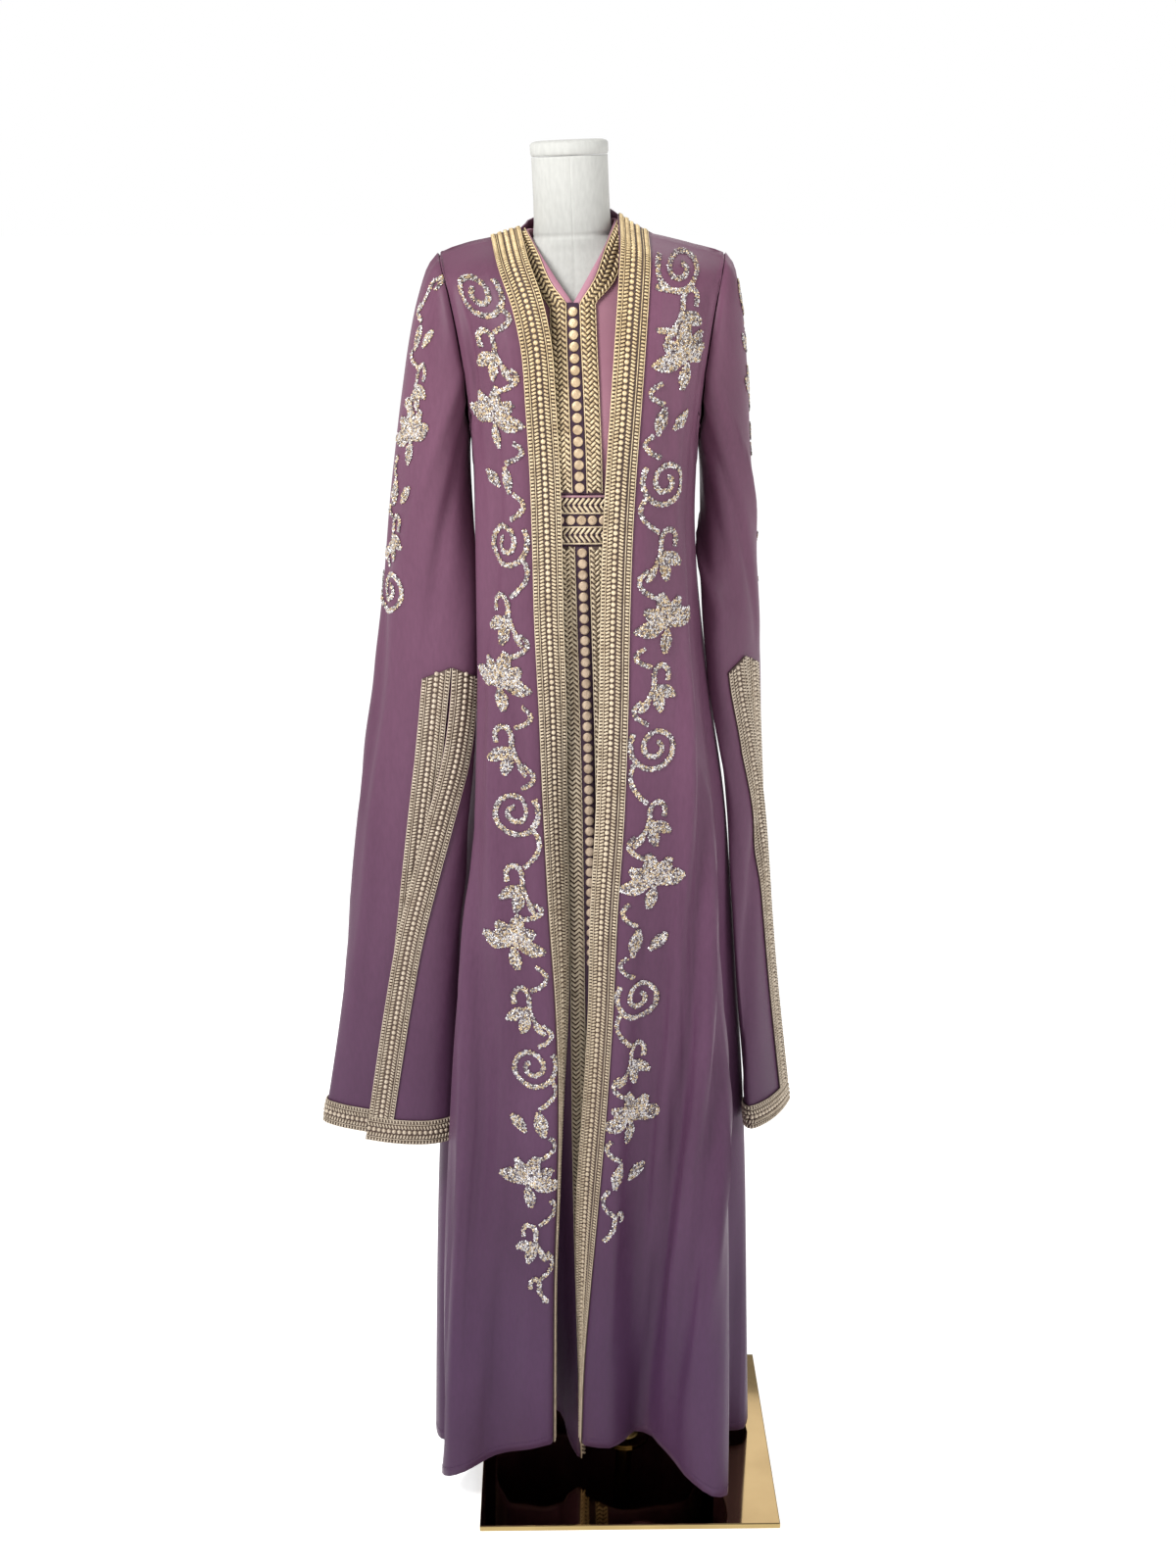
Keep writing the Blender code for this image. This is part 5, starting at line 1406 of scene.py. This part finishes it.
def build_threads(name, stops, roughness, metallic, shine):
    """Metal thread: its colour follows the height, with a tight twist along it."""
    tree, shader, place = material(name, roughness, metallic, Specular_IOR_Level=shine)
    share = maths(tree, "MULTIPLY", height(tree, place), 0.58)
    base = ramp(tree, share, stops)
    worn = noise(tree, place, 85.0, 3.0)
    shade = ramp(tree, worn, [(0.32, (0.76, 0.73, 0.70)), (0.55, (1.0, 1.0, 1.0))])
    coloured(tree, shader, mixed(tree, 1.0, base, shade, "MULTIPLY"))
    fine = noise(tree, place, 1400.0, 2.0)
    twist = wave(tree, place, "DIAGONAL", 520.0, 1.0)
    feed(tree, shader.inputs["Roughness"], maths(tree, "MULTIPLY_ADD", fine, 0.22, roughness - 0.11))
    bump(tree, shader, maths(tree, "ADD", twist, fine), 0.35, 0.00022)


def build_materials():
    mauve = (0.130, 0.050, 0.088), (0.176, 0.072, 0.120)
    # both satins get painted shade that darkens them towards the hem
    build_fabric("satin", *mauve, 0.46, 0.10, (0.85, 0.58, 0.70), low=HEM_PAINTED_SHADE)
    mauve = (0.126, 0.050, 0.086), (0.166, 0.070, 0.112)
    build_fabric("dress_satin", *mauve, 0.42, 0.12, (0.95, 0.70, 0.82), low=HEM_PAINTED_SHADE)
    tree = MATERIALS["dress_satin"].node_tree
    # painted light and the dress's own pinker tone: above the level the dress satin is painted lighter and
    # pinker
    pinker_and_painted_light_above(tree, PINK_AND_PAINTED_LIGHT_LEVEL, ((0.40, 0.185, 0.245), (0.50, 0.250, 0.315)))
    build_fabric("form_linen", (0.53, 0.53, 0.50), (0.57, 0.57, 0.54), 0.85, 0.10, (1.0, 0.97, 0.92), 0.0013)
    build_fabric("dark_cloth", (0.030, 0.014, 0.026), (0.060, 0.030, 0.052), 0.60, 0.15, (0.6, 0.5, 0.6))
    build_fabric("braid_ground", (0.070, 0.045, 0.040), (0.115, 0.078, 0.062), 0.60, 0.10, (0.9, 0.8, 0.6))
    gold = [
        (0.0, (0.46, 0.37, 0.27)), (0.35, (0.58, 0.48, 0.35)), (0.60, (0.70, 0.59, 0.44)),
        (0.76, (0.76, 0.63, 0.43)), (0.88, (0.80, 0.63, 0.37)), (1.0, (0.80, 0.62, 0.34)),
    ]
    build_threads("gold_thread", gold, 0.42, 0.30, 0.6)
    pale = [
        (0.0, (0.48, 0.40, 0.31)), (0.35, (0.58, 0.49, 0.38)),
        (0.70, (0.66, 0.56, 0.44)), (1.0, (0.70, 0.58, 0.42)),
    ]
    build_threads("pale_thread", pale, 0.42, 0.30, 0.6)
    build_threads("bead_silver", [(0.0, (0.66, 0.64, 0.66)), (1.0, (0.70, 0.67, 0.65))], 0.24, 0.45, 0.8)
    build_threads("bead_gold", [(0.0, (0.58, 0.47, 0.32)), (1.0, (0.64, 0.48, 0.28))], 0.30, 0.45, 0.8)
    build_threads("bead_dark", [(0.0, (0.15, 0.12, 0.15)), (1.0, (0.18, 0.14, 0.14))], 0.30, 0.40, 0.8)
    button = [(0.0, (0.55, 0.43, 0.36)), (0.7, (0.60, 0.46, 0.33)), (1.0, (0.68, 0.50, 0.27))]
    build_threads("button_thread", button, 0.40, 0.40, 0.6)
    build_threads("pink_thread", [(0.0, (0.40, 0.22, 0.27)), (1.0, (0.44, 0.24, 0.29))], 0.45, 0.10, 0.5)
    build_metal("brass", (0.34, 0.235, 0.095), (0.46, 0.33, 0.14), 0.16)
    build_metal("dark_mirror", (0.33, 0.23, 0.11), (0.40, 0.285, 0.14), 0.02, sides=(0.46, 0.34, 0.15))
    tree, shader, place = material("floor", 0.75, Emission_Color=(1, 1, 1, 1), Emission_Strength=FLOOR_GLOW)
    cloudy = noise(tree, place, 2.5, 3.0)
    coloured(tree, shader, ramp(tree, cloudy, [(0.3, (0.80, 0.80, 0.80)), (0.7, (0.84, 0.84, 0.84))]))


def build_metal(name, dark, light, roughness, sides=None):
    """Polished metal with faint smears. With sides, faces that stand upright have that colour instead."""
    tree, shader, place = material(name, roughness, 1.0)
    smear = noise(tree, place, 9.0, 4.0)
    colour = ramp(tree, smear, [(0.35, dark), (0.65, light)])
    if sides:
        normal = shader_node(tree, "TexCoord").outputs["Normal"]
        upward = maths(tree, "GREATER_THAN", height(tree, normal), 0.6)
        edge = ramp(tree, smear, [(0.3, tuple(part * 0.8 for part in sides)), (0.7, sides)])
        colour = mixed(tree, upward, edge, colour)
    coloured(tree, shader, colour)
    feed(tree, shader.inputs["Roughness"], maths(tree, "MULTIPLY_ADD", smear, 0.08, roughness))
    bump(tree, shader, noise(tree, place, 40.0, 2.0), 0.03, 0.0004)


def band_piece(name, node, grid, relief, look="gold_thread"):
    """Braid: its ground band with the worked threads on it, as two pieces."""
    ground = cloth(name + "_ground", grid, "braid_ground", "gold_braid", node, BRAID)
    return ground, piece(name + "_threads", *relief, look, "gold_braid")


def stitches(name, grid):
    """Row of small stitches along a hem."""
    steps = np.linalg.norm(np.diff(grid[:12], axis=0), axis=2)
    along = np.concatenate([np.zeros((1, grid.shape[1])), np.cumsum(steps, axis=0)])
    line = np.array([
        [np.interp(HEM_TURN, along[:, c], grid[:12, c, k]) for k in range(3)] for c in range(grid.shape[1])
    ])
    normals = normals_of(grid)[1]
    gaps = totals(np.linalg.norm(np.diff(line, axis=0), axis=1))
    at = np.arange(STITCH_LENGTH, gaps[-1] - STITCH_LENGTH, STITCH_STEP)
    place, out, ahead = (
        np.stack([np.interp(where, gaps, values[:, k]) for k in range(3)], axis=-1)
        for where, values in ((at, line), (at, normals), (at + 0.001, line))
    )
    run = unit(ahead - place)
    out = flattened(out, run)
    sewn = stamped((place, run, np.cross(out, run), out), bar_shape(STITCH_LENGTH, 0.0007, 0.0005))
    return piece(name, *sewn, "satin", "satin")


def build_coat():
    coarse = {side: coat_front(side) for side in (-1, 1)}
    for side, word in ((-1, "left"), (1, "right")):
        row_steps = steps_for(coarse[side], 0, FINE_ALONG)
        column_steps = steps_for(coarse[side], 1, FINE_ACROSS)
        grid = refine(coarse[side], row_steps, column_steps)
        grid = creased(grid, CREASES_LEFT if side < 0 else CREASES_RIGHT, side)
        panel = facing_out(grid, side)
        front = cloth(f"coat_front_{word}_cloth", panel, "satin", "satin", f"coat_front_{word}")
        wide = totals(column_steps)[2]
        raised = facing_out(moved_out(panel, GAP + BRAID), side)[:, : wide + 1]
        strip = facing_out(raised, side)
        ground, worked = band_piece(f"coat_trim_{word}", f"coat_trim_{word}", strip, loop_braid(Strip(strip)))
        motifs = MOTIFS_LEFT if side < 0 else MOTIFS_RIGHT
        sewn = beads(f"embroidery_front_{word}", grid, side, wide, motifs, 1, 11 + side, -0.15)
        hem = stitches(f"hem_stitches_{word}", panel[:, 2:-2])
        declare(front, panel)
        declare(ground, strip)
    coarse_back = coat_back()[:, ::-1]
    row_steps = steps_for(coarse_back, 0, FINE_ALONG)
    column_steps = steps_for(coarse_back, 1, BACK_ACROSS)
    grid = creased(refine(coarse_back, row_steps, column_steps), CREASES_BACK)
    back = cloth("coat_back_cloth", grid, "satin", "satin", "coat_back")
    hem = stitches("hem_stitches_back", grid[:, 2:-2])
    declare(back, grid)


def fine_slit_band(raised, rows, columns):
    """Band along one edge of a slit, cut from the raised sleeve, with its slanting top."""
    band = raised[rows[2] : rows[-1] + 1, : columns[2] + 1]
    rise = np.linalg.norm(band[-1, 0] - band[-2, 0])
    across = reaches(band)[0]
    count = len(band)
    made = np.empty_like(band)
    for c, distance in enumerate(across):
        places = np.linspace(0.0006 / rise, count - 1 - SLIT_GABLE * max(distance, EDGE_INSET) / rise, count)
        for k in range(3):
            made[:, c, k] = np.interp(places, np.arange(count), band[:, c, k])
    made[:, 0] = between(made[:, 0], made[:, 1], EDGE_INSET / max(across[1], EDGE_INSET))
    return made


def build_sleeves():
    for side, word in ((-1, "left"), (1, "right")):
        coarse, closed_from = sleeve(side)
        row_steps = steps_for(coarse, 0, FINE_ALONG)
        column_steps = steps_for(coarse, 1, FINE_ACROSS)
        rows, columns = totals(row_steps), totals(column_steps)
        grid = refine(coarse, row_steps, column_steps)
        grid = creased(grid, CREASES_SLEEVE, side)
        grid[rows[closed_from] :, -1] = grid[rows[closed_from] :, 0]
        whole = facing_out(grid, side)
        node = f"sleeve_{word}"
        made = cloth(node + "_cloth", whole, "satin", "satin", node, CLOTH, rows[closed_from])
        out = normals_of(grid) * side
        raised = grid + out * (GAP + BRAID)
        cuff = facing_out(raised[: rows[2] + 1], side)
        turned_cuff = cuff.transpose(1, 0, 2)[:, ::-1]
        relief = loop_braid(Strip(turned_cuff))
        parts = [band_piece(f"cuff_{word}", f"cuff_band_{word}", cuff, relief, "pale_thread")]
        raised = grid + out * (GAP + BRAID + SLIT_LIFT)
        closed_rows = rows[: closed_from + 1]
        ends = totals(column_steps[::-1])
        outer = facing_out(fine_slit_band(raised, closed_rows, columns), side)
        inner = facing_out(fine_slit_band(raised[:, ::-1], closed_rows, ends), -side)
        for end, strip in (("outer", outer), ("inner", inner)):
            name = f"slit_band_{word}_{end}"
            parts.append(band_piece(name, name, strip, loop_braid(Strip(strip)), "pale_thread"))
        middle = columns[SLEEVE_STEPS.index(0)]
        motifs = MOTIFS_SLEEVE_LEFT if side < 0 else MOTIFS_SLEEVE_RIGHT
        sewn = beads(f"embroidery_sleeve_{word}", grid, side, middle, motifs, -1, 31 + side, 0.5)
        declare(made, whole)
        for (ground, _), strip in zip(parts, (cuff, outer, inner)):
            declare(ground, strip)


def open_neck(grid, side, corner):
    """Dress front whose neck edge runs straight from the neck point to the shoulder."""
    made = grid.copy()
    low, top = grid[corner, 0], grid[-1, 0]
    for row in range(corner + 1, len(grid) - 1):
        xs = side * grid[row, :, 0]
        count = int(np.argmax(np.append(np.diff(xs) <= 0.0005, True))) + 1
        share = (grid[row, 0, 2] - low[2]) / (top[2] - low[2])
        shift = side * (low[0] + (top[0] - low[0]) * share) - xs[0]
        fade = np.clip((count - 1 - np.arange(count)) / max(count - 4, 1), 0, 1)
        moved = xs[:count] + shift * fade
        for k in (1, 2):
            made[row, :count, k] = np.interp(moved, xs[:count], grid[row, :count, k])
        made[row, :count, 0] = side * moved
    return made


def tuck(grid, part):
    """Draws the end of a strip back from the belt: a lower strip's top or an upper strip's foot."""
    end, inside = (-1, -2) if part == "lower" else (0, 1)
    grid[end] = between(grid[end], grid[inside], SEAM_TUCK)


def build_dress():
    neck = sum(DRESS_ROWS[:3])
    coarse = {side: open_neck(dress_front(side), side, neck) for side in (-1, 1)}
    coarse_back = dress_back()[:, ::-1]
    row_steps = steps_for(coarse[-1], 0, FINE_ALONG)
    rows = totals(row_steps)
    belt_low, belt_high = DRESS_ROWS[0], DRESS_ROWS[0] + DRESS_ROWS[1]
    corner = belt_high + DRESS_ROWS[2]
    lift = GAP + BRAID
    raised, edge, fronts, strips = {}, {}, [], []
    for side, word in ((-1, "left"), (1, "right")):
        column_steps = steps_for(coarse[side], 1, FINE_ACROSS)
        column_steps[1:3] = np.maximum(column_steps[1:3], 2)
        columns = totals(column_steps)
        grid = creased(refine(coarse[side], row_steps, column_steps, corner), CREASES_DRESS, side)
        panel = facing_out(grid, side)
        front = cloth(f"dress_front_{word}_cloth", panel, "dress_satin", "dress_satin", f"dress_front_{word}")
        fronts.append((front, panel))
        raised[side], edge[side] = grid + normals_of(grid) * side * lift, columns
        low, high = rows[belt_low], rows[belt_high]
        for part, span in (("lower", raised[side][: low + 1]), ("upper", raised[side][high:])):
            braid = span[:, columns[1] : columns[3] + 1].copy()
            tuck(braid, part)
            strip = facing_out(braid, side)
            name = f"braid_{part}_{word}"
            ground, worked = band_piece(name, name, strip, chevron_braid(Strip(strip)))
            strips.append((ground, worked, strip, front))
    for front, panel in fronts:
        declare(front, panel)
    for ground, _, strip, front in strips:
        declare(ground, strip)
    back_steps = steps_for(coarse_back, 1, BACK_ACROSS)
    back_grid = refine(coarse_back, row_steps, back_steps)
    back = cloth("dress_back_cloth", back_grid, "dress_satin", "dress_satin", "dress_back")
    declare(back, back_grid)
    raised_back = moved_out(back_grid, lift)
    span = slice(low, high + 1)
    right, left = raised[1][span, edge[1][1] :], raised[-1][span, edge[-1][1] :]
    seam = totals(back_steps)
    build_belt(belt_ring(right, raised_back[span, seam[1] : seam[-2] + 1], left[:, ::-1]))
    build_plackets(raised, edge, rows[belt_low], rows[belt_high])


def belt_ring(right, back, left):
    """The belt's grid, from the right front round the back to the left front, closed at the buttons."""
    belt = np.concatenate([right, back, left], axis=1)
    middle = [between(belt[:, -1], belt[:, 0], share) for share in (0.25, 0.5, 0.75)]
    return np.concatenate([belt, np.stack(middle, axis=1), belt[:, :1]], axis=1)


def build_belt(belt):
    band = cloth("belt_ground", belt, "dark_cloth", "gold_braid", "belt", BRAID, 0)
    half = belt.shape[1] // 2
    around = np.concatenate([belt[:, half:-1], belt[:, : half + 1]], axis=1)
    strip = Strip(around.transpose(1, 0, 2)[:, ::-1])
    tall = strip.width
    parts = []
    for first, last in ((0.05, 0.36), (0.64, 0.95)):
        parts.append(herringbone(strip, first * tall, last * tall))
    for u in (0.36, 0.64, 0.965):
        parts.append(cord(strip, u * tall, 0.0010, CORD_LIFT))
    worked = piece("belt_threads", *joined(parts), "gold_thread", "gold_braid")
    edging = piece("belt_cord", *cord(strip, 0.03 * tall, 0.0013, 0.0006), "pink_thread", "dress_satin")
    middle = belt[:, -3]
    along = totals(np.linalg.norm(np.diff(around[1], axis=0), axis=1))
    centre = along[np.abs(around[1] - middle[1]).sum(axis=1).argmin()]
    places = centre + BELT_BUTTON_PITCH * (np.arange(BELT_BUTTONS) - (BELT_BUTTONS - 1) / 2)
    places = places * strip.length / along[-1]
    discs = stamped(strip.frames(places, tall / 2), button_shape())
    buttons = piece("belt_buttons", *discs, "button_thread", "gold_braid")
    declare(band, belt)


def herringbone(strip, low, high):
    """Two rows of slanting threads that meet in points along the strip."""
    width = (high - low) / 2
    v = np.arange(CHEVRON_STEP / 2, strip.length, CHEVRON_STEP)
    rows = ((low + width * 0.5, -0.70), (low + width * 1.5, 0.70))
    return joined([slanted(strip, v, u, width * 1.25, lean) for u, lean in rows])


def build_plackets(raised, edge, low, high):
    inset = 3 * GAP / PLACKET_HALF
    for part, span in (("lower", slice(0, low + 1)), ("upper", slice(high, None))):
        sides = {side: raised[side][span] for side in (-1, 1)}
        if part == "upper":
            count = int((sides[1][:, 0, 2] < NECK_POINT - 0.0005).sum()) + 1
            sides = {side: grid[:count] for side, grid in sides.items()}
        left = between(sides[-1][:, edge[-1][1]], sides[-1][:, 0], inset)
        right = between(sides[1][:, edge[1][1]], sides[1][:, 0], inset)
        middle = (sides[-1][:, 0] + sides[1][:, 0]) / 2
        columns = [left, between(left, middle, 0.5), middle, between(right, middle, 0.5), right]
        grid = np.stack(columns, axis=1)
        tuck(grid, part)
        grid = moved_out(grid, PLACKET_LIFT)
        ground = cloth(f"placket_{part}_cloth", grid, "dark_cloth", "dark_placket", f"placket_{part}", BRAID)
        strip = Strip(grid)
        count = BUTTONS_BELOW if part == "lower" else BUTTONS_ABOVE
        places = BUTTON_FROM_BELT + BUTTON_PITCH * np.arange(count)
        if part == "lower":
            places = strip.length - places
        discs = stamped(strip.frames(places, strip.width / 2), button_shape())
        row = piece(f"buttons_{part}", *discs, "button_thread", "gold_braid")
        declare(ground, grid)


def build_form():
    """Padded form under linen, with seams round the neck's foot, down the middle and down each side."""
    seams = np.radians([-90, 90, 0, 180])
    angles = set(np.round(np.linspace(0, 2 * math.pi, 72, endpoint=False), 6))
    for seam in seams:
        for off in (-0.03, -0.012, 0.012, 0.03):
            angles.add(round(float((seam + off) % (2 * math.pi)), 6))
    angles = np.array(sorted(angles))
    levels = sorted({*np.linspace(FORM_BOTTOM, 1.58, 70), *np.linspace(1.582, NECK_TOP, 50)})
    points = []
    for z in levels:
        half, front, back, square = (float(read(FORM, n, z)) for n in ("half", "front", "back", "square"))
        depth = np.where(np.sin(angles) < 0, front, back)
        plan = superellipse(angles, half, depth, square)
        apart = np.abs((angles[:, None] - seams[None] + math.pi) % (2 * math.pi) - math.pi).min(axis=1)
        groove = SEAM_DEPTH * np.exp(-((apart / SEAM_HALF) ** 2))
        groove += NECK_SEAM_DEPTH * math.exp(-(((z - NECK_SEAM_LEVEL) / NECK_SEAM_HALF) ** 2))
        plan = plan * (1 - groove)[:, None]
        points += [leaning(x, y, z) for x, y in plan]
    around = len(angles)
    faces = [tuple(range(around))[::-1]]
    index = np.arange(len(levels) * around).reshape(len(levels), around)
    after = np.roll(index, -1, axis=1)
    faces += np.stack([index[:-1], after[:-1], after[1:], index[1:]], axis=-1).reshape(-1, 4).tolist()
    faces.append(tuple(index[-1].tolist()))
    form = piece("form_torso_cover", points, faces, "form_linen", "linen", "form_torso")


def build_cap():
    """Round cap on the form's neck, from its middle over the rounded edge to its underside."""
    profile = [
        (0.0, CAP_HEIGHT), (0.030, CAP_HEIGHT - 0.0002), (0.038, CAP_HEIGHT - 0.0007),
        (0.0425, CAP_HEIGHT - 0.002), (CAP_RADIUS, CAP_HEIGHT - 0.0045), (CAP_RADIUS, 0.0040),
        (CAP_RADIUS - 0.0006, 0.0020), (0.0430, 0.0004), (0.0, 0.0),
    ]
    turn = 2 * math.pi * np.arange(CAP_SIDES) / CAP_SIDES
    points, faces = [], []
    for radius, rise in profile:
        base, z = len(points), NECK_TOP + GAP + rise
        if radius == 0.0:
            points.append(leaning(0, 0, z))
        else:
            points += [leaning(radius * math.cos(a), radius * math.sin(a), z) for a in turn]
        if not base:
            continue
        for k in range(CAP_SIDES):
            n = (k + 1) % CAP_SIDES
            if base == 1:
                faces.append((0, base + k, base + n))
            elif radius == 0.0:
                faces.append((base, base - CAP_SIDES + n, base - CAP_SIDES + k))
            else:
                faces.append((base - CAP_SIDES + k, base + k, base + n, base - CAP_SIDES + n))
    piece("form_cap_cover", points, faces, "form_linen", "linen", "form_neck_cap")


def finish_stand():
    for node, look in (("stand_plate", "dark_mirror"), ("stand_flange", "brass"), ("stand_pole", "brass")):
        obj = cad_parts[node]
        obj.data.materials.clear()
        obj.data.materials.append(MATERIALS[look])


def build_stage():
    """Pale floor under a soft studio light; the camera sees the world behind it as white."""
    mesh = bpy.data.meshes.new("floor")
    corners = [(x * FLOOR_REACH, y * FLOOR_REACH, 0) for x, y in ((-1, -1), (1, -1), (1, 1), (-1, 1))]
    mesh.from_pydata(corners, [], [(0, 1, 2, 3)])
    floor = bpy.data.objects.new("floor", mesh)
    bpy.context.scene.collection.objects.link(floor)
    mesh.materials.append(MATERIALS["floor"])
    world = bpy.data.worlds.new("studio")
    world.use_nodes = True
    tree = world.node_tree
    background = tree.nodes["Background"]
    background.inputs["Color"].default_value = (1, 1, 1, 1)
    seen = shader_node(tree, "LightPath").outputs["Is Camera Ray"]
    strength = maths(tree, "MULTIPLY_ADD", seen, 1.0 - STUDIO_LIGHT, STUDIO_LIGHT)
    feed(tree, background.inputs["Strength"], strength)
    bpy.context.scene.world = world
    for light in LIGHTS:
        data = bpy.data.lights.new(light.name, "AREA")
        data.energy = light.power
        data.size = light.size
        obj = bpy.data.objects.new(light.name, data)
        obj.location = light.place
        way = np.array(light.target, float) - np.array(light.place, float)
        flat = math.hypot(way[0], way[1])
        obj.rotation_euler = (math.atan2(flat, -way[2]), 0, math.atan2(way[1], way[0]) - math.pi / 2)
        bpy.context.scene.collection.objects.link(obj)
    build_camera()


def build_camera():
    """Camera where the plate's perspective puts the photographer."""
    camera = bpy.data.cameras.new("camera")
    camera.lens = CAMERA_LENS
    camera.sensor_width = 36
    camera.clip_end = 100
    eye = bpy.data.objects.new("camera", camera)
    eye.location = CAMERA_PLACE
    eye.rotation_euler = (math.radians(90) - CAMERA_DOWN, 0, CAMERA_TURN)
    bpy.context.scene.collection.objects.link(eye)
    bpy.context.scene.camera = eye
    bpy.context.scene.view_settings.view_transform = "Standard"


MATERIALS = {}
build_materials()
build_stage()
build_form()
build_cap()
finish_stand()
build_coat()
build_sleeves()
build_dress()
